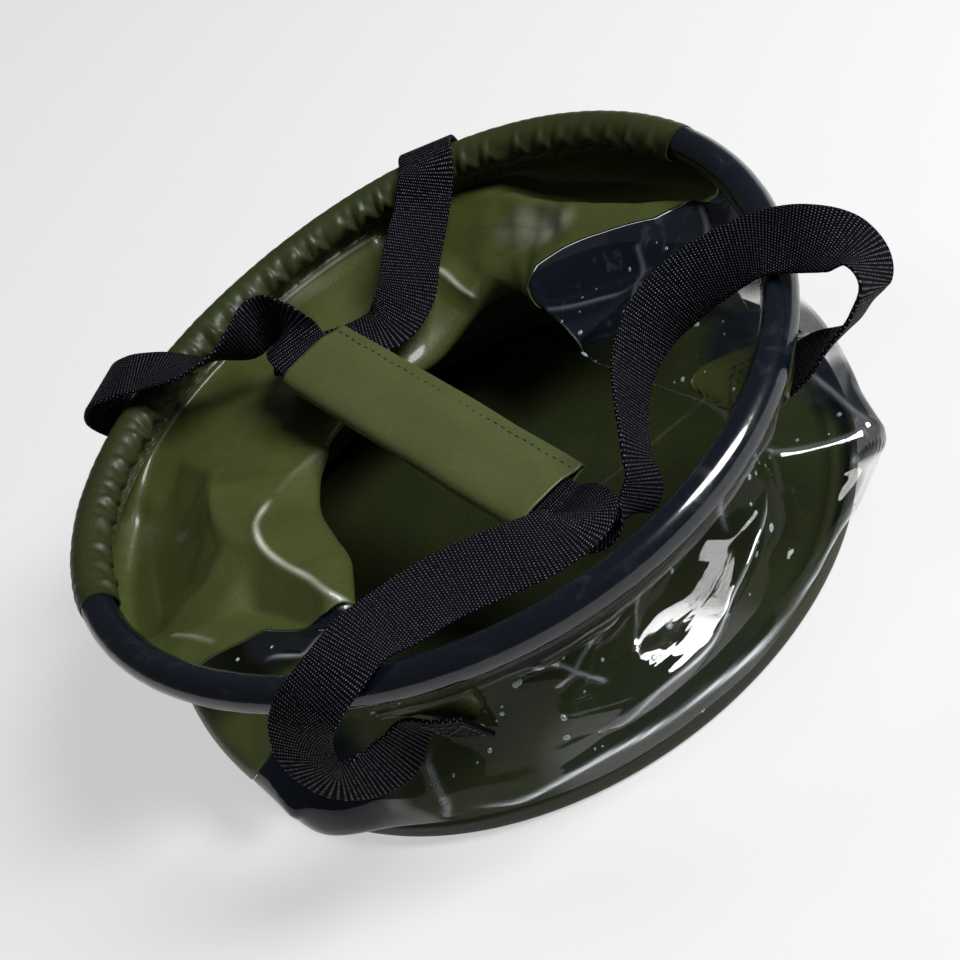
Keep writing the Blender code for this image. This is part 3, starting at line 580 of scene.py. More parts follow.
# Single folds: points, height, width on each side, radius of the tip, whiteness (a painted highlight along
# the crest, on the cloth also stress whitening)
RIDGES = (
    # left lump: the stressed crease with its painted highlight, then its soft start
    (((152, 4.5), (164.6, 4.66), (174, 4.68), (190.2, 4.62), (202.8, 4.46), (208.5, 4.15)),
     -0.6, 5, 5, 0.55, 1.0),
    (((125, 4.1), (141.4, 4.35), (154, 4.51)), -0.5, 6, 6, 0.8, 0.20),
    (((138, 5.7), (148, 5.65), (158.8, 5.57), (170, 5.58)), 0.0, 6, 6, 0.9, 0.10),
    (((178, 5.55), (184, 5.44), (190, 5.36)), -0.4, 5, 5, 0.6, 0.35),
    # back: the round fold by the tongue, and the line under the hem
    (((66, 4.85), (63.5, 4.71), (61, 4.44), (57.4, 4.12)), -2.6, 9, 9, 0.4, 0.85),
    (((100, 5.97), (90, 5.95), (80, 5.93), (72, 5.82)), -2.6, 8, 10, 0.6, 0.45),
    # strands that run from the swag's corners to the hem, and round the right ear
    (((-112, 3.95), (-106, 3.92), (-101, 4.0), (-95, 4.28), (-86, 4.18), (-79, 4.34), (-71, 4.4),
      (-63, 4.2)), 0.8, 3, 3, 0.1, 0.75),
    (((-99, 4.6), (-101, 5.1), (-104, 5.5), (-107, 5.85)), 0.8, 3, 3, 0.1, 0.75),
    (((-106, 4.9), (-103, 5.2), (-98, 5.5), (-92, 5.8)), 0.8, 3, 3, 0.1, 0.55),
    (((-73, 4.75), (-71, 5.1), (-68, 5.5), (-65, 5.9)), 1.0, 4, 4, 0.1, 0.65),
    (((-95, 4.85), (-92, 5.2), (-88, 5.55), (-84, 5.85)), 0.8, 3, 3, 0.1, 0.45),
    (((-58, 4.0), (-54, 3.6), (-50, 3.3), (-47, 3.05)), 4.6, 12, 12, 0.4, 0.5),
    (((-106, 3.95), (-104, 4.6), (-99, 5.3), (-92, 5.85)), 1.4, 8, 8, 0.3, 0.10),
    # lower bulge: the upright fold at its left end, then its upper edge
    (((-128.5, 3.6), (-128, 3.2), (-128, 2.81), (-130, 2.4)), 4.0, 8, 10, 0.35, 0.9),
    (((-128, 2.5), (-119, 2.5), (-112, 2.7), (-105, 2.8), (-96, 2.62), (-89, 2.58), (-78, 2.44), (-66, 2.6),
      (-56, 2.8), (-48, 2.95)), 3.6, 12, 10, 0.4, 0.95),
    (((-48, 3.0), (-44, 3.2), (-38, 3.25), (-31, 3.3), (-22, 3.1)), 3.2, 12, 12, 0.5, 0.15),
    (((-48, 2.95), (-44, 2.2), (-42, 1.5)), 2.0, 9, 9, 0.5, 0.8),
    (((-150, 4.25), (-152, 4.6), (-152, 4.95), (-160, 5.3)), -1.6, 7, 7, 0.4, 0.35),
    (((-153, 2.4), (-156, 2.9), (-162, 3.3), (-172, 3.5)), 2.2, 12, 12, 0.6, 0.0),
    # wrinkles along the hem
    (((-130, 5.92), (-116, 5.9), (-100, 5.86), (-84, 5.88), (-68, 5.9), (-52, 5.86)),
     1.1, 3, 4, 0.25, 0.22),
    (((-112, 5.7), (-104, 5.66), (-90, 5.6), (-76, 5.66), (-62, 5.7), (-56, 5.6)),
     1.3, 4, 4, 0.25, 0.18),
    (((-100, 5.4), (-88, 5.3), (-76, 5.42), (-64, 5.5), (-57, 5.3)), 1.2, 4, 5, 0.25, 0.12),
    # inside right
    (((-34, 4.3), (-26, 4.8), (-14, 5.2), (-4, 5.5), (3, 5.6)), -2.0, 10, 12, 0.5, 0.12),
    (((-20, 4.4), (-8, 4.6), (3, 4.9), (9, 5.1)), -2.0, 9, 9, 0.4, 0.12),
    (((31, 4.05), (22, 4.3), (13, 4.48), (4, 4.66), (-6, 4.95)), -1.8, 7, 8, 0.4, 0.08),
)
# Broad dents: angle, level, radius (mm), height
DENTS = (
    (100, 5.5, 22, 3.0),
    (84, 5.1, 24, 2.5),
    (-60, 2.2, 18, -2.0),
    (-142, 3.0, 18, -2.0),
    (-26, 5.2, 16, 2.0),
    (-168, 3.6, 16, 2.5),
)
# Patches of painted sheen on the cloth: angle, level, radius (mm), whiteness
PAINTED_SHEEN = (
    (42, 4.98, 14, 0.38),
    (36, 5.00, 13, 0.46),
    (30, 5.06, 10, 0.34),
    (47, 4.90, 11, 0.22),
)
# Painted shade on the clear sheet, where the inside behind it lies in shade: angle, level, radius (mm),
# strength
PAINTED_SHADE = (
    (24, 4.9, 58, 0.99),
    (4, 5.3, 48, 0.995),
    (-8, 5.75, 44, 0.985),
    (-20, 5.8, 26, 0.90),
    (-95, 2.0, 60, 0.30),
    (-168, 2.2, 46, 0.95),
    (-166, 3.9, 42, 0.92),
    (-22, 3.3, 34, 0.85),
    (-38, 2.6, 30, 0.90),
    (-50, 1.6, 16, 0.50),
    (-150, 2.6, 46, 0.95),
    (-140, 1.4, 26, 0.80),
    (-160, 4.9, 20, 0.50),
)
PAINTED_SHADE_CORE = 0.55       # share of a radius where the painted shade is full
# Uneven waves over the walls, and more of them on the film: size (mm), height (mm), shift
WAVES = ((38.0, 0.5, 0.0), (14.0, 0.12, 4.0))
FILM_WAVES = ((16.0, 0.10, 5.0), (8.0, 0.03, 2.0))
LEVEL_MM = 26          # height of one level, for these waves
SEAM_CALM = 0.06       # share of the film's width over which its own waves fade
FACET_RATIO = 0.08     # one degree, in levels, where the facets are laid out
FACET_SOFT = 5         # cells of the mesh over which their creases are rounded


def facet_height(degs, levels, chains):
    """Height (mm) of the flat facets between chains of creases."""
    places, heights, edges = [], [], []
    for chain in chains:
        edges += [(len(places) + i, len(places) + i + 1) for i in range(len(chain) - 1)]
        places += [Vector((deg * FACET_RATIO, level)) for deg, level, _ in chain]
        heights += [height for _, _, height in chain]
    corners, _, faces, sources, _, _ = geometry.delaunay_2d_cdt(places, edges, [], 0, 1e-5)
    middle = sum(p.x for p in places) / len(places) / FACET_RATIO
    x = (degs + 360.0 * np.round((middle - degs) / 360.0)) * FACET_RATIO
    out = np.zeros(degs.shape)
    for a, b, c in faces:
        (xa, ya), (xb, yb), (xc, yc) = corners[a], corners[b], corners[c]
        ha, hb, hc = (heights[sources[i][0]] for i in (a, b, c))
        area = (xb - xa) * (yc - ya) - (xc - xa) * (yb - ya)
        to_b = ((x - xa) * (yc - ya) - (xc - xa) * (levels - ya)) / area
        to_c = ((xb - xa) * (levels - ya) - (x - xa) * (yb - ya)) / area
        inside = (to_b >= 0) & (to_c >= 0) & (to_b + to_c <= 1)
        out[inside] = (ha + to_b * (hb - ha) + to_c * (hc - ha))[inside]
    return out


def soften(height, reach):
    """Round the creases of a grid of heights over a number of cells."""
    kernel = np.hanning(2 * reach + 3)[1:-1]
    kernel /= kernel.sum()
    for axis in (0, 1):
        wide = np.pad(height, [(reach, reach) if a == axis else (0, 0) for a in (0, 1)], mode="edge")
        height = np.apply_along_axis(np.convolve, axis, wide, kernel, "valid")
    return height


def nearest_on(line, points):
    """Distance from each point to a polyline, the share along it, and the nearest place."""
    a, b = line[:-1], line[1:]
    ab = b - a
    best = np.full(len(points), np.inf)
    share = np.zeros(len(points))
    foot = np.zeros_like(points)
    way = np.zeros_like(points)
    for k in range(len(a)):
        t = np.clip(((points - a[k]) @ ab[k]) / max(ab[k] @ ab[k], 1e-14), 0, 1)
        q = a[k] + t[:, None] * ab[k]
        d = np.linalg.norm(points - q, axis=1)
        closer = d < best
        best[closer] = d[closer]
        share[closer] = (k + t[closer]) / len(a)
        foot[closer] = q[closer]
        way[closer] = ab[k]
    return best, share, foot, way


def far_from(pts, deg, level):
    """Distances (mm) of a grid of points from a place on the wall."""
    return np.linalg.norm(pts - wall_place(deg, level), axis=2) / MM


def spots(pts, levels, table, edge):
    """Strongest of some round spots of (angle, level, radius in mm, strength) on the wall."""
    out = np.zeros(levels.shape)
    for deg, level, radius, strength in table:
        share = far_from(pts, deg, level) / radius
        out = np.maximum(out, strength * (1 - smooth01((share - edge) / (1 - edge))))
    return out


def rounded_path(points):
    """(angle, level) points as a dense path with its corners rounded."""
    knots = np.array(points, float)
    steps = np.linspace(0, len(knots) - 1, 12 * (len(knots) - 1) + 1)
    path = np.stack([np.interp(steps, range(len(knots)), knots[:, k]) for k in (0, 1)], axis=1)
    kernel = np.hanning(13)[1:-1]
    padded = np.concatenate([np.repeat(path[:1], 5, 0), path, np.repeat(path[-1:], 5, 0)])
    return np.stack([np.convolve(padded[:, k], kernel / kernel.sum(), "valid") for k in (0, 1)], 1)


# Ridges: how far they reach beyond their line, the share of it over which their ends fade, the
# power of their profile, how much wider than the tip the painted highlight line is, and the size of its
# breaks
REACH_DEG, REACH_LEVELS = 22, 0.95
END_FADE = 0.14
PROFILE = 1.4
WHITE_LINE_EDGE_MM = 0.65
WHITE_LINE_BREAK = 0.017
SHELF_LEVEL = 4.0      # the folded wall turns inward here, and ridges above it stay above it


def sculpt(degs, levels, pts):
    """Heights of the folds on a grid of the wall (mm), their whitening (painted highlights and painted
    sheen, on the cloth also stress whitening), and the normals.
    """
    normal = grid_normals(pts)
    height = sum(facet_height(degs, levels, chains) for chains in (LEFT_LUMP, BACK_TONGUE, FRONT_SWAG))
    height = soften(height, FACET_SOFT)
    # patches of painted sheen, only on the shelf above the fold
    highlight_and_whitening = spots(pts, levels, PAINTED_SHEEN, 0.0) * (levels > 4.2)
    for points, rise, left, right, tip, white in RIDGES:
        path = rounded_path(points)
        line = np.array([wall_place(d, s) for d, s in path[::3]])
        turned = degs + 360.0 * np.round((path[:, 0].mean() - degs) / 360.0)
        if np.ptp(path[:, 0]) > 12:
            near_s = np.interp(turned, *zip(*sorted((d, s) for d, s in path)))
        else:
            near_s = np.clip(levels, path[:, 1].min(), path[:, 1].max())
        mask = (np.abs(levels - near_s) < REACH_LEVELS) & (turned > path[:, 0].min() - REACH_DEG) \
            & (turned < path[:, 0].max() + REACH_DEG)
        if path[:, 1].mean() > SHELF_LEVEL + 0.05:
            mask &= levels > SHELF_LEVEL
        if not mask.any():
            continue
        far, share, foot, way = nearest_on(line / MM, pts[mask] / MM)
        side = np.einsum("ij,ij->i", np.cross(way, pts[mask] / MM - foot), normal[mask])
        width = np.where(side > 0, left, right)
        soft = np.sqrt(far**2 + tip**2) - tip
        ends = smooth01(share / END_FADE) * smooth01((1 - share) / END_FADE)
        height[mask] += rise * np.clip(1 - soft / width, 0, 1) ** PROFILE * ends
        broken = 0.85 + 0.8 * np.array([noise.noise(Vector(p) / WHITE_LINE_BREAK) for p in pts[mask]])
        line_highlight_and_whitening = np.exp(-((far / (tip + WHITE_LINE_EDGE_MM)) ** 2)) * np.clip(broken, 0, 1)
        highlight_and_whitening[mask] = np.maximum(highlight_and_whitening[mask], white * ends * line_highlight_and_whitening)
    for deg, level, radius, rise in DENTS:
        near = np.abs(levels - level) < 1.0
        height += np.where(near, rise * (1 - smooth01(far_from(pts, deg, level) / radius)), 0.0)
    return height, highlight_and_whitening, normal


def rumple(degs, levels, sizes):
    """Small uneven waves (mm) from seeded noise, round the bucket."""
    out = np.zeros(degs.shape)
    radians = np.radians(degs)
    x, y, z = np.cos(radians) * MEAN_R / MM, np.sin(radians) * MEAN_R / MM, levels * LEVEL_MM
    for scale, amount, shift in sizes:
        values = [rough(a / scale + shift, b / scale, c / scale)
                  for a, b, c in zip(x.ravel(), y.ravel(), z.ravel())]
        out += amount * np.array(values).reshape(degs.shape)
    return out


WALL_ROWS = (5, 8, 12, 44, 64, 64, 8)      # of mesh, level by level; the last are in the hem
OLIVE_COLS, CLEAR_COLS = 520, 420
TOP_LEVEL = 6.5


def seam_at(table, s):
    return np.interp(s, *zip(*table))


def wall_grid(start_table, start_turn, end_table, end_turn, cols):
    ends = [*range(7), TOP_LEVEL]
    s = np.concatenate([np.linspace(a, b, n, endpoint=False)
                        for a, b, n in zip(ends, ends[1:], WALL_ROWS)] + [[TOP_LEVEL]])
    trim = math.degrees(GAP / MEAN_R)
    starts = np.array([seam_at(start_table, x) + start_turn + trim for x in s])
    stops = np.array([seam_at(end_table, x) + end_turn - trim for x in s])
    share = np.linspace(0, 1, cols + 1)[:, None]
    degs = starts + (stops - starts) * share
    levels = np.broadcast_to(s, degs.shape)
    # the columns aren't at one angle, so each row interpolates between fixed angles
    fixed = np.arange(-200.0, 210.01, 0.1)
    lines = np.stack([wall_line(d, s) for d in fixed])
    pts = np.empty((*degs.shape, 3))
    radius = np.linalg.norm(lines[:, :, :2], axis=2)
    for j in range(len(s)):
        r = np.interp(degs[:, j], fixed, radius[:, j])
        a = np.radians(degs[:, j])
        pts[:, j, 0] = r * np.cos(a)
        pts[:, j, 1] = r * np.sin(a)
        pts[:, j, 2] = np.interp(degs[:, j], fixed, lines[:, j, 2])
    along = np.concatenate([np.zeros((cols + 1, 1)),
                            np.cumsum(np.linalg.norm(np.diff(pts, axis=1), axis=2), axis=1)], axis=1)
    uvs = np.stack([np.radians(degs) * MEAN_R, along], axis=2)
    return degs, levels, pts, uvs


def hold(levels):
    """1 on the free wall, 0 where it is sewn at its foot and in its hem."""
    return smooth01((levels - 0.7) / 1.0) * smooth01((6.1 - levels) / 0.35)


def make_wall(name, node, tables, cols, waves, mat, thickness):
    degs, levels, pts, uvs = wall_grid(*tables, cols)
    height, highlight_and_whitening, normal = sculpt(degs, levels, pts)
    height = height + rumple(degs, levels, WAVES)
    if waves:
        # none near the seams, where the film meets the other wall
        first, last = np.linspace(0, 1, cols + 1), np.linspace(1, 0, cols + 1)
        calm = smooth01(first / SEAM_CALM) * smooth01(last / SEAM_CALM)
        height = height + rumple(degs, levels, waves) * calm[:, None]
    pts = pts + normal * (height * hold(levels))[:, :, None] * MM
    # dark is painted shade for the clear film; crease holds painted highlights, painted sheen and stress
    # whitening
    marks = {"crease": highlight_and_whitening, "dark": spots(pts, levels, PAINTED_SHADE, PAINTED_SHADE_CORE)}
    obj = grid_sheet(name, pts, uvs, mat, thickness, marks)
    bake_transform(obj)
    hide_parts(node)
    return obj, levels, pts


def hoop_frame(deg):
    """Middle of the hoop's rod at an angle, and the way out from the bucket's axis."""
    a = math.radians(deg)
    out = Vector((math.cos(a), math.sin(a), 0))
    return out * hoop_radius(deg) + UP * HOOP_Z, out


def make_hoop(name, mat):
    segments, sides = 360, 24
    verts, faces = [], []
    for k in range(segments):
        centre, out = hoop_frame(360.0 * k / segments)
        a, b = k * sides, (k + 1) % segments * sides
        for i in range(sides):
            turn = 2 * math.pi * i / sides
            verts.append(centre + out * HOOP_ROD_R * math.cos(turn) + UP * (HOOP_ROD_R * math.sin(turn)))
            j = (i + 1) % sides
            faces.append((a + i, b + i, b + j, a + j))
    obj = mesh_object(name, verts, faces, mat)
    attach(obj, "rim")
    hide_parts("rim_hoop")


HEM_STEP = 0.36        # degrees between columns of mesh
HEM_TAIL, HEM_RING = 7, 34      # rows of mesh in each ply of the tail, and round the hoop
HEM_OPEN = 13.0        # half of the opening under the hoop, in degrees
PLY_GAP = 0.0008       # from the middle of the tail to each ply
HEM_COVER = 0.62       # the film looks this dark round the black hoop


def make_hem(name, node, start, end, pitch, depth, mat, thickness, is_film):
    """Gathered cloth round the hoop, with its two plies sewn into a wavy tail under it.

    pitch and depth (mm) are those of its ruffles. The cloth's tail is rolled, the film's has lines."""
    count = int((end - start) / HEM_STEP)
    degs = np.linspace(start, end, count + 1)
    arc = np.radians(degs) * HOOP_R / MM
    warp = np.array([rough(a / 31, 3, 0) * 6 + rough(a / 12, 5, 0) * 3.2 for a in arc])
    gather = (arc + warp) / pitch * math.pi
    amount = np.array([0.75 + 0.7 * rough(a / 15, 9, 2) for a in arc])
    opening = math.radians(HEM_OPEN)
    betas = np.linspace(-math.pi / 2 + opening, 1.5 * math.pi - opening, HEM_RING)
    # ruffles are strongest on the inner lower side
    inner = np.clip(np.cos(betas - math.radians(195.0)), 0, 1) ** 1.2
    outer = np.clip(np.cos(betas - math.radians(-20.0)), 0, 1) ** 2
    drop = np.linspace(TAIL_DROP, SLEEVE_R * 1.04, HEM_TAIL, endpoint=False)
    fade = np.linspace(0.8, 1.0, HEM_TAIL)
    roll = 0.0011 * smooth01((drop - 0.0098) / 0.0015) * (not is_film)
    rows = HEM_RING + 2 * HEM_TAIL
    pts = np.empty((count + 1, rows, 3))
    uvs = np.empty((count + 1, rows, 2))
    highlight_and_whitening = np.zeros((count + 1, rows))
    for k, deg in enumerate(degs):
        centre, out = (np.array(v) for v in hoop_frame(deg))
        sway = math.asin(math.sin(gather[k])) / (0.5 * math.pi)
        crest = np.exp(-(((betas - math.radians(188.0 + 27.0 * sway)) / 0.42) ** 2))
        pocket = np.exp(-(((betas - math.radians(236.0 + 20.0 * sway)) / 0.34) ** 2))
        pucker = np.abs(np.sin(gather[k] + 0.9 * np.sin(betas * 1.3 + 0.6))) ** 0.75
        pucker *= 0.10 + 0.35 * inner + 0.3 * outer
        swell = depth * amount[k] * (crest + pucker - 0.45 * pocket)
        r = (HOOP_ROD_R / MM + 0.75 + swell) * MM
        wave = depth * amount[k] * (abs(math.sin(gather[k])) ** 0.7 - 0.5) * MM
        line = 0.35 * MM * np.sin(drop / MM * 2.6 + deg * 0.11) * is_film

        def place(x, z):
            return centre + out * x[:, None] + np.array(UP) * z[:, None]

        pts[k] = np.concatenate([place(PLY_GAP + 0.5 * wave * fade + line, -drop),
                                 place(r * np.cos(betas), r * np.sin(betas)),
                                 place(-PLY_GAP - 0.7 * wave * fade - line - roll, -drop)[::-1]])
        if not is_film:     # a painted highlight along the tail's lower edge, at the back
            lit = smooth01((deg - 70) / 8) * smooth01((118 - deg) / 8)
            highlight_and_whitening[k, -2:] = 0.8 * lit * np.clip(0.7 + 0.8 * rough(arc[k] / 9, 1, 6), 0, 1)
        uvs[k, :, 0] = arc[k] * MM
        uvs[k, :, 1] = np.concatenate([[0], np.cumsum(np.linalg.norm(np.diff(pts[k], axis=0), axis=1))])
    cover = np.zeros(highlight_and_whitening.shape)
    cover[:, HEM_TAIL + 1:-HEM_TAIL - 1] = HEM_COVER
    obj = grid_sheet(name, pts, uvs, mat, thickness, {"crease": highlight_and_whitening, "dark": cover})
    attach(obj, "rim")
    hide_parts(node)
    return obj


def smooth_path(nodes, spacing):
    """Curve through (point, width direction) nodes, as (point, tangent, width, normal)."""
    pts = [Vector(n[0]) for n in nodes]
    dirs = [Vector(n[1]).normalized() for n in nodes]
    spans = [(b - a).length for a, b in zip(pts, pts[1:])]

    def slopes(values):
        rates = [(b - a) / h for a, b, h in zip(values, values[1:], spans)]
        inner = [(p * k + q * h) / (h + k)
                 for p, q, h, k in zip(rates, rates[1:], spans, spans[1:])]
        return [rates[0]] + inner + [rates[-1]]

    place_slopes, dir_slopes = slopes(pts), slopes(dirs)

    def sample(values, rates, i, t):
        return hermite(values[i], values[i + 1], rates[i] * spans[i], rates[i + 1] * spans[i], t)

    out = []
    for i, span in enumerate(spans):
        steps = max(1, round(span / spacing))
        for k in range(steps + (1 if i == len(spans) - 1 else 0)):
            t = k / steps
            p = sample(pts, place_slopes, i, t)
            ahead, behind = (sample(pts, place_slopes, i, t + step) for step in (0.01, -0.01))
            tangent = (ahead - behind).normalized()
            across = sample(dirs, dir_slopes, i, t)
            across = (across - tangent * across.dot(tangent)).normalized()
            out.append((p, tangent, across, tangent.cross(across)))
    return out


def runs_along(points):
    """Length of a line of points up to each of them."""
    runs = [0.0]
    for a, b in zip(points, points[1:]):
        runs.append(runs[-1] + (b - a).length)
    return runs


def tube_faces(rings, sides, start=0):
    """Faces of a capped tube whose vertices run ring by ring from number start."""
    faces = []
    for k in range(rings - 1):
        a, b = start + sides * k, start + sides * (k + 1)
        for i in range(sides):
            j = (i + 1) % sides
            faces.append((a + i, a + j, b + j, b + i))
    last = start + (rings - 1) * sides
    return faces + [tuple(range(start, start + sides))[::-1], tuple(range(last, last + sides))]


def join(verts, faces, more, tris):
    """Add a second mesh's vertices and faces to those of the first."""
    faces += [tuple(i + len(verts) for i in f) for f in tris]
    verts += more


# Outline of the webbing across its width, in halves of its width and thickness
WEB_OUTLINE = [(-1.0, -0.25), (-0.985, -0.8), (-0.955, -1.0)]
WEB_OUTLINE += [(-0.8 + 0.2 * k, -1.0) for k in range(9)]
WEB_OUTLINE += [(0.955, -1.0), (0.985, -0.8), (1.0, -0.25)]
WEB_OUTLINE += [(-x, -y) for x, y in WEB_OUTLINE]
WEB_STEP = 0.0015      # between rings along it


def make_webbing(name, frames, mat):
    verts, uvs = [], []
    for run, (p, _, w, n) in zip(runs_along([p for p, *_ in frames]), frames):
        for x, y in WEB_OUTLINE:
            verts.append(p + w * x * WEB_W / 2 + n * y * WEB_T / 2)
            uvs.append((x * WEB_W / 2 if y < 0 else 0.0005 + x * WEB_W / 2, run))
    return mesh_object(name, verts, tube_faces(len(frames), len(WEB_OUTLINE)), mat, uvs)


def around(deg):
    a = math.radians(deg)
    return Vector((-math.sin(a), math.cos(a), 0))


def on_wall(deg, s, lift):
    return wall_point(deg, s) + wall_normal(deg, s) * lift


def across_wall(deg, s):
    return (wall_point(deg + 4.0, s) - wall_point(deg - 4.0, s)).normalized()


def by_hoop(deg, x, z):
    """A place x mm out from the middle of the hoop's rod, and z mm up."""
    centre, out = hoop_frame(deg)
    return centre + out * (x * MM) + UP * (z * MM)


def grip_axes():
    axis = (GRIP_RIGHT - GRIP_LEFT).normalized()
    across = (GRIP_ACROSS - axis * GRIP_ACROSS.dot(axis)).normalized()
    up = across.cross(axis)
    if up.z < 0:
        up = -up
    return axis, across, up


def mouth(end, layer, away):
    axis, _, up = grip_axes()
    centre = GRIP_LEFT - axis * away if end == "left" else GRIP_RIGHT + axis * away
    return centre + up * layer * (WEB_T + CORE_GAP) / 2


# Points of the free legs (mm), each with the direction of its width, from the rim in to the grip
LEG_POINTS = {
    "back_right": (
        (63, 116, 90.5, -0.8, 0.58, 0.15), (43, 103, 80, -0.62, 0.6, 0.5),
        (29, 93, 72, -0.6, 0.62, 0.5), (16, 90, 68.5, -0.35, 0.85, 0.3),
        (3, 93.5, 69.5, 0.2, 0.97, 0.1), (-9, 97.5, 73.5, 0.1, 0.98, 0), (-19, 95, 80.5, -0.7, 0.7, 0),
    ),
    "back_left": (
        (-98.5, 140, 96, -0.81, -0.58, 0), (-94.5, 135, 104.5, -0.79, -0.61, 0),
        (-86, 126.5, 107.8, -0.74, -0.67, 0), (-75.2, 119, 106, -0.66, -0.75, 0.08),
        (-62.3, 107.5, 103, -0.58, -0.73, 0.35), (-48, 99.5, 101.5, -0.28, -0.66, 0.69),
        (-35, 97.5, 101.8, -0.07, -0.19, 0.98), (-27, 98.5, 102.8, 0.05, 0, 1),
        (-21.2, 95.5, 102.4, 0.1, 0, 1), (-20.5, 89.5, 100, 0.5, 0.05, 0.85),
        (-21.7, 83.8, 96.5, 0.9, 0.15, 0.35),
    ),
    "front_right": (
        (116, -120.5, 85, 0.68, 0.58, -0.45), (125, -125.8, 93, 0.62, 0.6, -0.52),
        (131.8, -127.8, 99, 0.6, 0.48, -0.62), (135.8, -121.8, 104.5, 0.7, 0.3, -0.45),
        (134.5, -111.5, 108, 0.86, 0.28, 0.1), (128.5, -95, 108.8, 0.66, 0.48, 0.5),
        (119.5, -79, 106.5, 0.48, 0.72, 0.45), (107, -66.5, 101.5, 0.38, 0.62, 0.66),
        (92, -57, 95.5, 0.1, 0.48, 0.85), (76.5, -54, 90, -0.15, 0.2, 0.96),
        (60, -60, 83.5, -0.27, -0.05, 0.95), (49, -71.1, 77.5, -0.3, -0.25, 0.92),
        (40.5, -83, 70.5, -0.38, -0.32, 0.87), (34.5, -89.5, 62.2, -0.52, -0.32, 0.8),
        (26.5, -90.5, 57, -0.84, -0.27, 0.4),
    ),
    "front_left": (
        (-118.5, -105.5, 83, 0.64, -0.76, 0), (-113.5, -108.5, 93, 0.5, -0.82, -0.25),
        (-105, -112.5, 101, 0.25, -0.88, -0.38), (-95, -113, 105, 0.12, -0.91, -0.38),
        (-83, -109.5, 105.6, 0.04, -0.93, -0.28), (-66, -103, 98.5, 0, -0.84, -0.5),
        (-48, -98.5, 92, -0.05, -0.79, -0.6), (-29, -99, 86.2, -0.08, -0.78, -0.62),
        (-10, -101, 81, 0.05, -0.84, -0.52), (4.5, -98.5, 76.2, 0.4, -0.86, -0.3),
        (11.8, -89.5, 71.5, 0.82, -0.57, -0.08),
    ),
}


def leg_nodes():
    """Each leg from its sewn end, out round the hoop and in to the grip, as part.py has them."""
    across = grip_axes()[1]

    def sewn(where):
        deg = ANCHORS[where]
        lift = STRAP_LIFT + STAND[where]
        levels = (SEW_LOW, (SEW_LOW + SEW_HIGH) / 2, SEW_HIGH)
        return [(on_wall(deg, s, lift), across_wall(deg, s)) for s in levels]

    def round_hoop(deg, *places):
        return [(by_hoop(deg, x, z), around(deg)) for x, z in places]

    def free(where):
        return [([x * MM for x in row[:3]], row[3:]) for row in LEG_POINTS[where]]

    def into_grip(end, layer, away, *before):
        places = [[x * MM for x in point] for point in before]
        places += [mouth(end, layer, away), mouth(end, layer, LEG_END)]
        return [(place, across * layer) for place in places]

    back_right = sewn("back_right")
    back_right += round_hoop(59, (4, -19.5), (10.8, -12), (10.4, 0), (6.8, 7.6), (0, 9.9), (-7.4, 7.6))
    back_right += free("back_right") + into_grip("left", -1, 0.007, (-23.2, 87, 87))
    back_left = sewn("back_left") + round_hoop(123, (6.5, -17)) + round_hoop(124.5, (16.5, -8))
    back_left += free("back_left") + into_grip("left", 1, 0.005)
    front_right = sewn("front_right") + round_hoop(-46.5, (7, -14)) + free("front_right")
    front_right += into_grip("right", -1, 0.010, (17, -85.5, 56.2))
    # the front left leg lies level where it is sewn on, with its width upright
    low, high = 4.25, 5.40
    upright = wall_point(-121, high) - wall_point(-121, low) - around(-31) * 0.0014
    front_left = []
    for deg in (-116.5, -121, -125.5):
        place = wall_point(deg, low).lerp(wall_point(deg, high), 0.5)
        front_left.append((place + wall_normal(deg, 4.9) * (STRAP_LIFT + STAND["front_left"]), upright))
    front_left += [((-0.0955, -0.1160, 0.0605), UP + around(-129.5) * 0.1),
                   ((-0.1080, -0.1140, 0.0600), UP + around(-133.5) * 0.4),
                   ((-0.1175, -0.1085, 0.0635), UP + around(-137)),
                   ((-0.1205, -0.1050, 0.0735), around(-138) + UP * 0.2)]
    front_left += free("front_left") + into_grip("right", 1, 0.005, (10.8, -79.5, 66.5))
    return {"back_right": back_right, "back_left": back_left,
            "front_right": front_right, "front_left": front_left}


def make_patch(where, deg, mat):
    """Tab of coated cloth under the sewn end, square at the rim and round at its lower end."""
    low, high = 4.32, 5.90     # levels
    narrowest, ripple_h = 0.003, 0.00012
    lift = WALL_T / 2 + LAY + PATCH_T / 2
    rows, cols = 34, 22
    levels = np.linspace(high, low, rows + 1)
    run = runs_along([wall_point(deg, s) for s in levels])
    half = PATCH_W / 2
    start_round = run[-1] - half
    pts = np.empty((cols + 1, rows + 1, 3))
    uvs = np.empty((cols + 1, rows + 1, 2))
    for j, s in enumerate(levels):
        past = max(run[j] - start_round, 0.0)
        wide = max(math.sqrt(max(half**2 - past**2, 0.0)), narrowest)
        for i in range(cols + 1):
            u = i / cols
            turn = math.degrees((2 * u - 1) * wide / wall_point(deg, s).xy.length)
            ripple = ripple_h * math.sin(31 * u + j * 0.7)
            pts[i, j] = on_wall(deg + turn, s, lift + ripple)
            uvs[i, j] = ((2 * u - 1) * wide, run[j])
    obj = grid_sheet("patch_" + where + "_cloth", pts[::-1], uvs[::-1], mat, CLOTH_T)
    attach(obj, "rim")
    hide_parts("patch_" + where)


# Length of a stitch, gap between stitches and radius of the thread
BOX_THREAD = (0.0026, 0.0008, 0.00034)
GRIP_THREAD = (0.0030, 0.0011, 0.00030)


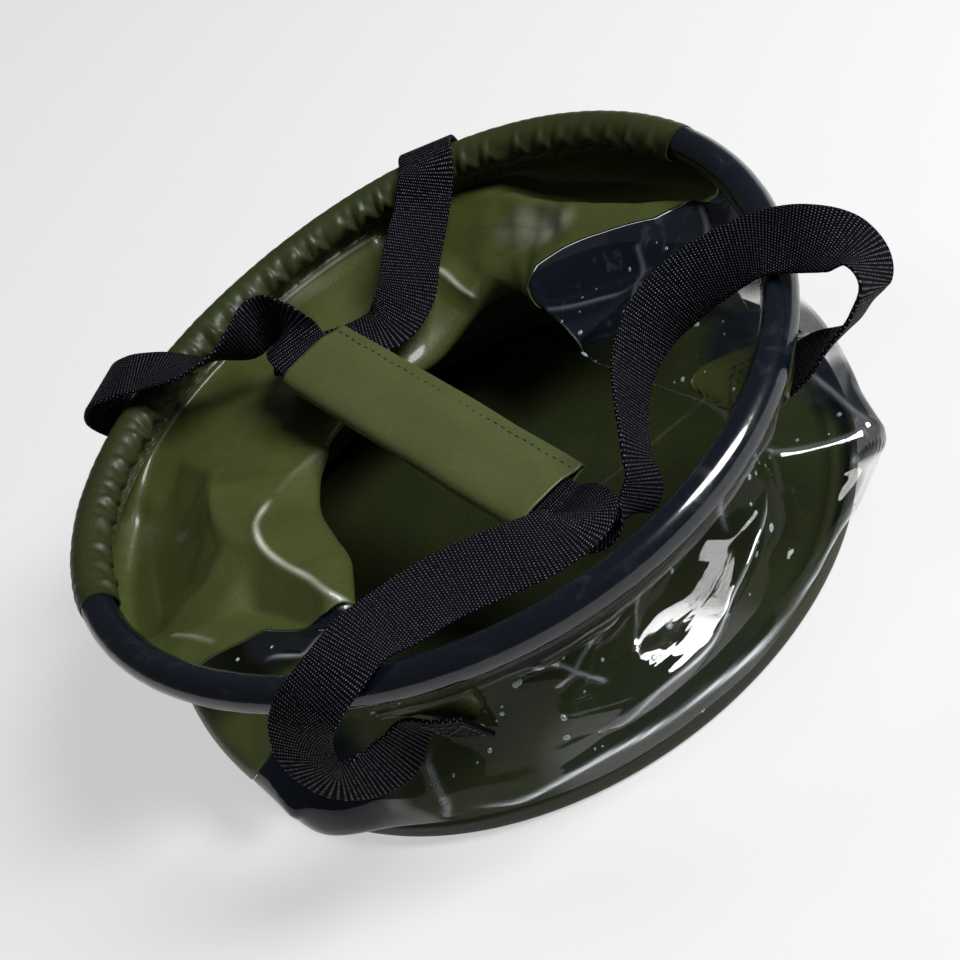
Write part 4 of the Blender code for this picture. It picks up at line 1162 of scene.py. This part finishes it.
def stitch_run(points, normals, length, gap, radius):
    """Separate thread floats along a polyline: (vertices, faces)."""
    verts, faces = [], []
    spans = [(b - a).length for a, b in zip(points, points[1:])]
    total = sum(spans)

    def at(run):
        i = 0
        while i < len(spans) - 1 and run > spans[i]:
            run -= spans[i]
            i += 1
        t = min(max(run / spans[i], 0.0), 1.0)
        return points[i].lerp(points[i + 1], t), normals[i].lerp(normals[i + 1], t).normalized()

    count = max(1, int((total + gap) / (length + gap)))
    pitch = (total + gap) / count
    rings, sides = 7, 6
    step = 0.0002     # to both sides, for the thread's direction
    for k in range(count):
        start = len(verts)
        for j in range(rings):
            share = j / (rings - 1)
            run = k * pitch + share * (pitch - gap)
            p, n = at(run)
            ahead, _ = at(min(run + step, total))
            behind, _ = at(max(run - step, 0.0))
            way = (ahead - behind).normalized()
            side = way.cross(n).normalized()
            bow = math.sin(math.pi * share)
            r = radius * (0.45 + 0.55 * bow ** 0.5)
            centre = p + n * (radius * (0.9 * bow - 0.35))
            for i in range(sides):
                a = 2 * math.pi * i / sides
                verts.append(centre + side * r * math.cos(a) + n * r * 0.8 * math.sin(a))
        faces += tube_faces(rings, sides, start)
    return verts, faces


def make_box_stitch(where, frames, outward, deg, mat):
    """Square of stitches with a cross in it, on the webbing; on the clear wall its back shows on the wall's
    inner face too.
    """
    half, middle = 0.0082, 0.0095      # of the square, and its middle from the webbing's end
    lift, under = 0.0003, 0.0004       # of the thread from the webbing and from the wall's inner face
    runs = runs_along([p for p, *_ in frames])

    def on_strap(x, y):
        run = middle + y
        k = max(i for i in range(len(runs) - 1) if runs[i] <= run)
        t = (run - runs[k]) / (runs[k + 1] - runs[k])
        p = frames[k][0].lerp(frames[k + 1][0], t)
        w = frames[k][2].lerp(frames[k + 1][2], t)
        n = frames[k][3].lerp(frames[k + 1][3], t).normalized()
        if n.dot(outward) < 0:
            n = -n
        return p + w * x + n * (WEB_T / 2 + lift), n

    corners = ((-half, -half), (half, -half * 0.94), (half * 0.96, half), (-half, half * 0.97))
    lines = [(corners[k], corners[(k + 1) % 4]) for k in range(4)]
    lines += [(corners[0], corners[2]), (corners[1], corners[3])]
    verts, faces = [], []
    for a, b in lines:
        steps = 10
        places = [on_strap(a[0] + (b[0] - a[0]) * i / steps, a[1] + (b[1] - a[1]) * i / steps)
                  for i in range(steps + 1)]
        for turned in ((False, True) if deg < 0 else (False,)):
            points, normals = [p for p, _ in places], [n for _, n in places]
            if turned:     # the seam shows on the inner face of the clear wall too
                depth = WEB_T + GAP + PATCH_T + LAY + WALL_T + STAND[where] + under
                points = [p - n * depth for p, n in places]
                normals = [-n for n in normals]
            join(verts, faces, *stitch_run(points, normals, *BOX_THREAD))
    obj = mesh_object("stitches_" + where, verts, faces, mat)
    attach(obj, "rim")
    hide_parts("box_stitch_" + where)


# Upper half of the wrap's outline, from its rolled edge to its sewn edge: mm across and up
GRIP_LINE = ((0, 0), (0.3, 1.4), (1.2, 2.6), (3, 3.6), (6, 4.2), (10, 4.3), (14, 4.2), (18, 4.1),
             (22, 3.9), (25, 3.7), (27.5, 3), (29.5, 2.4), (31.2, 1.8), (33, 1.5), (34.8, 1.4),
             (35.8, 1.1), (36, 0.4))
GRIP_SHIFT = 0.0022    # of the wrap, to the side of its seam


def make_grip(mat):
    """Cloth wrapped round the webbing: rolled edge on one side, sewn flat edge on the other."""
    axis, across, up = grip_axes()
    length = (GRIP_RIGHT - GRIP_LEFT).length
    left, right = -GRIP_W / 2, GRIP_W / 2
    half_line = [(left + x * MM, y * MM) for x, y in GRIP_LINE]
    outline = half_line + [(x, -y) for x, y in half_line[::-1][:-1]]
    rows = 110
    cols = len(outline)
    outer = np.empty((rows + 1, cols, 3))
    uvs = np.empty((rows + 1, cols, 2))
    a3, c3, u3 = (np.array(v) for v in (axis, across, up))
    start = np.array(GRIP_LEFT) + c3 * GRIP_SHIFT
    run = np.concatenate([[0], np.cumsum([math.dist(p, q) for p, q in zip(outline, outline[1:])])])
    for k in range(rows + 1):
        t = k / rows
        x_along = t * length
        end = min(t, 1 - t) * length / MM
        flare = math.exp(-end / 5.0)
        side = 0.0004 * rough(x_along / 0.03, 8, 0)
        for i, (x, y) in enumerate(outline):
            face = math.copysign(0.8, y)
            tone = rough(x_along / 0.034, x / 0.020, 1.7 + face)
            small = rough(x_along / 0.011, x / 0.008, 5.1 + face)
            body = float(smooth01((right - x) / 0.012) * smooth01((x - left) / 0.002))
            rise = (0.00055 * tone + 0.00016 * small) * body
            pinch = -0.0005 * flare * body
            bulge = 0.0006 * math.sin(math.pi * t) if x > right - 0.006 else 0.0
            y_new = y + math.copysign(rise + pinch, y) if y else y
            ragged = 0.0007 * rough(x / 0.006, 4 + t * 3, 0) * flare if 0 < k < rows else 0
            place = start + a3 * (x_along + ragged) + c3 * (x + bulge + side) + u3 * y_new
            outer[k, i] = place
            uvs[k, i] = (run[i], x_along)
    normal = grid_normals(outer)
    if (normal[rows // 2, 6] @ u3) < 0:
        normal = -normal
    inner = outer - normal * CLOTH_T
    count = (rows + 1) * cols
    ids = np.arange(count).reshape(rows + 1, cols)
    right_ids = np.roll(ids, -1, axis=1)
    quads = np.stack([ids[:-1], right_ids[:-1], right_ids[1:], ids[1:]], axis=2).reshape(-1, 4)
    rims = [np.stack([right_ids[0], ids[0], ids[0] + count, right_ids[0] + count], axis=1),
            np.stack([ids[-1], right_ids[-1], right_ids[-1] + count, ids[-1] + count], axis=1)]
    verts = np.concatenate([outer.reshape(-1, 3), inner.reshape(-1, 3)])
    faces = np.concatenate([quads, quads[:, ::-1] + count, *rims])
    flat = uvs.reshape(-1, 2)
    obj = mesh_object("grip_wrap_cloth", verts, faces, mat, np.concatenate([flat, flat]))
    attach(obj, "handle")
    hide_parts("grip_wrap")


def make_grip_stitch(mat):
    """One seam along the flat edge, seen on both faces of the grip."""
    _, across, up = grip_axes()
    count = 29
    half = 0.00165     # of the edge's thickness, to the thread
    verts, faces = [], []
    for way in (1, -1):
        points = []
        for k in range(count):
            t = 0.012 + 0.976 * k / (count - 1)
            wander = 0.00025 * math.sin(k * 1.7)
            side = across * (GRIP_W / 2 - 0.0040 + GRIP_SHIFT + wander)
            points.append(GRIP_LEFT.lerp(GRIP_RIGHT, t) + side + up * half)
        if way < 0:
            points = [p - up * 2 * half for p in points]
        join(verts, faces, *stitch_run(points, [up * way] * count, *GRIP_THREAD))
    obj = mesh_object("grip_stitches", verts, faces, mat)
    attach(obj, "handle")
    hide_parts("grip_stitch")


EDGE_BEND_R = 0.1409   # where the base turns up


def make_base(mat):
    """Base sheet with its edge turned up, a welded ring and a slack middle."""
    # radius and kind: 0 slack, 1 welded, 2 and more the turned-up edge
    flat = (0, 4, 12, 22, 34, 46, 58, 70, 81, 91, 100, 108, 115, 121, 126, 130)
    rings = [(r * MM, 0) for r in flat]
    rings += [(0.1305, 1), (0.1312, 1), (0.1330, 1), (0.1337, 0), (0.1360, 0), (0.1385, 0), (0.1400, 0),
              (EDGE_BEND_R, 2), (0.14135, 3), (BASE_R, 4), (BASE_R, 5), (BASE_R, 6)]
    heights = (0, 0.0004, 0.0004, 0.0012, 0.0030, 0.0055, BASE_EDGE_H)
    segments = 240
    pts = np.empty((segments + 1, len(rings), 3))
    uvs = np.empty((segments + 1, len(rings), 2))
    for k in range(segments + 1):
        a = 2 * math.pi * k / segments
        for i, (r, kind) in enumerate(rings):
            x, y = r * math.cos(a), r * math.sin(a)
            slack = 0.0011 * rough(x / 0.05, y / 0.05, 2) + 0.0005 * rough(x / 0.017, y / 0.017, 5)
            free = float(smooth01((0.128 - r) / 0.03)) if kind == 0 else 0.0
            z = BASE_T / 2 + heights[kind] + max(slack * free, -0.0001)
            pts[k, i] = (x, y, z)
            uvs[k, i] = (x, y) if kind < 2 else (a * MEAN_R, EDGE_BEND_R + heights[kind])
    obj = grid_sheet("base_cloth", pts, uvs, mat, 0.0009)
    mesh = bmesh.new()
    mesh.from_mesh(obj.data)
    bmesh.ops.remove_doubles(mesh, verts=mesh.verts, dist=0.00002)
    bmesh.ops.recalc_face_normals(mesh, faces=mesh.faces)
    mesh.to_mesh(obj.data)
    mesh.free()
    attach(obj, "base")
    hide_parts("base_panel")


BEADS = 120
BEAD_LEVELS = (1.6, 5.7)
BEAD_INSIDE = 0.35     # share of them on the inner face
BEAD_MIN, BEAD_MORE = 0.00042, 0.00085     # radius
BEAD_FLAT = 0.48       # height over width


def make_beads(levels, pts, mat):
    """Water drops standing on the clear panel."""
    normal = grid_normals(pts)
    verts, faces = [], []
    ball = bmesh.new()
    bmesh.ops.create_icosphere(ball, subdivisions=2, radius=1.0)
    shape = [v.co.copy() for v in ball.verts]
    tris = [tuple(v.index for v in f.verts) for f in ball.faces]
    ball.free()
    inside = np.argwhere((levels > BEAD_LEVELS[0]) & (levels < BEAD_LEVELS[1]))
    for _ in range(BEADS):
        i, j = inside[RANDOM.integers(len(inside))]
        n = Vector(normal[i, j])
        if RANDOM.random() < BEAD_INSIDE:
            n = -n
        size = BEAD_MIN + BEAD_MORE * RANDOM.random() ** 2.5
        side = n.orthogonal().normalized()
        other = n.cross(side)
        stretch = 1.0 + 0.5 * RANDOM.random()
        centre = Vector(pts[i, j]) + n * size * 0.12
        bead = [centre + side * c.x * size * stretch + other * c.y * size + n * c.z * size * BEAD_FLAT
                for c in shape]
        join(verts, faces, bead, tris)
    obj = mesh_object("water_drops", verts, faces, mat)
    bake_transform(obj)


# Clear sheets: index, least cover, how much more edge-on, gloss, roughness, waviness
FILMS = {
    "clear_film": (2.6, 0.045, 0.05, 0.75, 0.03, 0.20),
    "clear_hem_film": (2.1, 0.05, 0.05, 0.95, 0.11, 0.02),
}
# Coated cloths: colour, its darker and lighter shades, roughness, coat
CLOTHS = {
    "olive_cloth": ((0.043, 0.055, 0.012), (0.034, 0.044, 0.009), (0.074, 0.088, 0.033), 0.40, 0.28),
    # the hem's olive is the wall's olive painted darker, as painted shade
    "olive_hem_shaded": ((0.023, 0.030, 0.008), (0.017, 0.022, 0.005), (0.042, 0.051, 0.019), 0.44, 0.05),
    "olive_grip": ((0.058, 0.070, 0.021), (0.048, 0.060, 0.016), (0.088, 0.098, 0.046), 0.46, 0.14),
    # the base's olive is painted darker, as painted shade inside the bucket
    "olive_base": ((0.015, 0.020, 0.005), (0.011, 0.016, 0.004), (0.026, 0.032, 0.012), 0.45, 0.10),
}


def build():
    add_camera()
    add_studio()
    olive, hem_olive, grip, shaded_base_olive = (coated_cloth(name, *row) for name, row in CLOTHS.items())
    clear, clear_hem = (film(name, *row) for name, row in FILMS.items())
    webbing = webbing_weave("black_webbing")
    black = thread("black_thread")

    make_base(shaded_base_olive)
    wall, *_ = make_wall("wall_olive_cloth", "wall_olive", (SEAM_RIGHT, 0.0, SEAM_LEFT, 0.0),
                         OLIVE_COLS, (), olive, CLOTH_T)
    panel, levels, pts = make_wall("wall_clear_film", "wall_clear", (SEAM_LEFT, -360.0, SEAM_RIGHT, 0.0),
                                   CLEAR_COLS, FILM_WAVES, clear, 0.0)
    panel.visible_shadow = False
    make_beads(levels, pts, water("water"))
    make_hoop("rim_hoop_tube", hoop_plastic("black_hoop"))
    trim = math.degrees(GAP / HOOP_R) / 2
    hem = make_hem("rim_hem_olive_cloth", "rim_hem_olive", HEM_SEAM_RIGHT + trim, HEM_SEAM_LEFT - trim,
                   6.4, 2.1, hem_olive, 0.0005, False)
    hem = make_hem("rim_hem_clear_film", "rim_hem_clear", HEM_SEAM_LEFT + trim,
                   HEM_SEAM_RIGHT + 360 - trim, 15.0, 0.30, clear_hem, 0.0, True)
    hem.visible_shadow = False
    for where, nodes in leg_nodes().items():
        deg = ANCHORS[where]
        frames = smooth_path(nodes, WEB_STEP)
        make_patch(where, deg, olive)
        make_box_stitch(where, frames, wall_normal(deg, SEW_LOW), deg, black)
        leg = make_webbing("strap_leg_" + where + "_web", frames, webbing)
        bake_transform(leg)
        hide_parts("strap_leg_" + where)
    axis, across, up = grip_axes()
    for layer, which in ((1, "upper"), (-1, "lower")):
        a, b = mouth("left", layer, CORE_END), mouth("right", layer, CORE_END)
        frames = [(a.lerp(b, k / 90), axis, across, up) for k in range(91)]
        core = make_webbing("strap_core_" + which + "_web", frames, webbing)
        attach(core, "handle")
        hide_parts("strap_core_" + which)
    make_grip(grip)
    make_grip_stitch(black)


build()
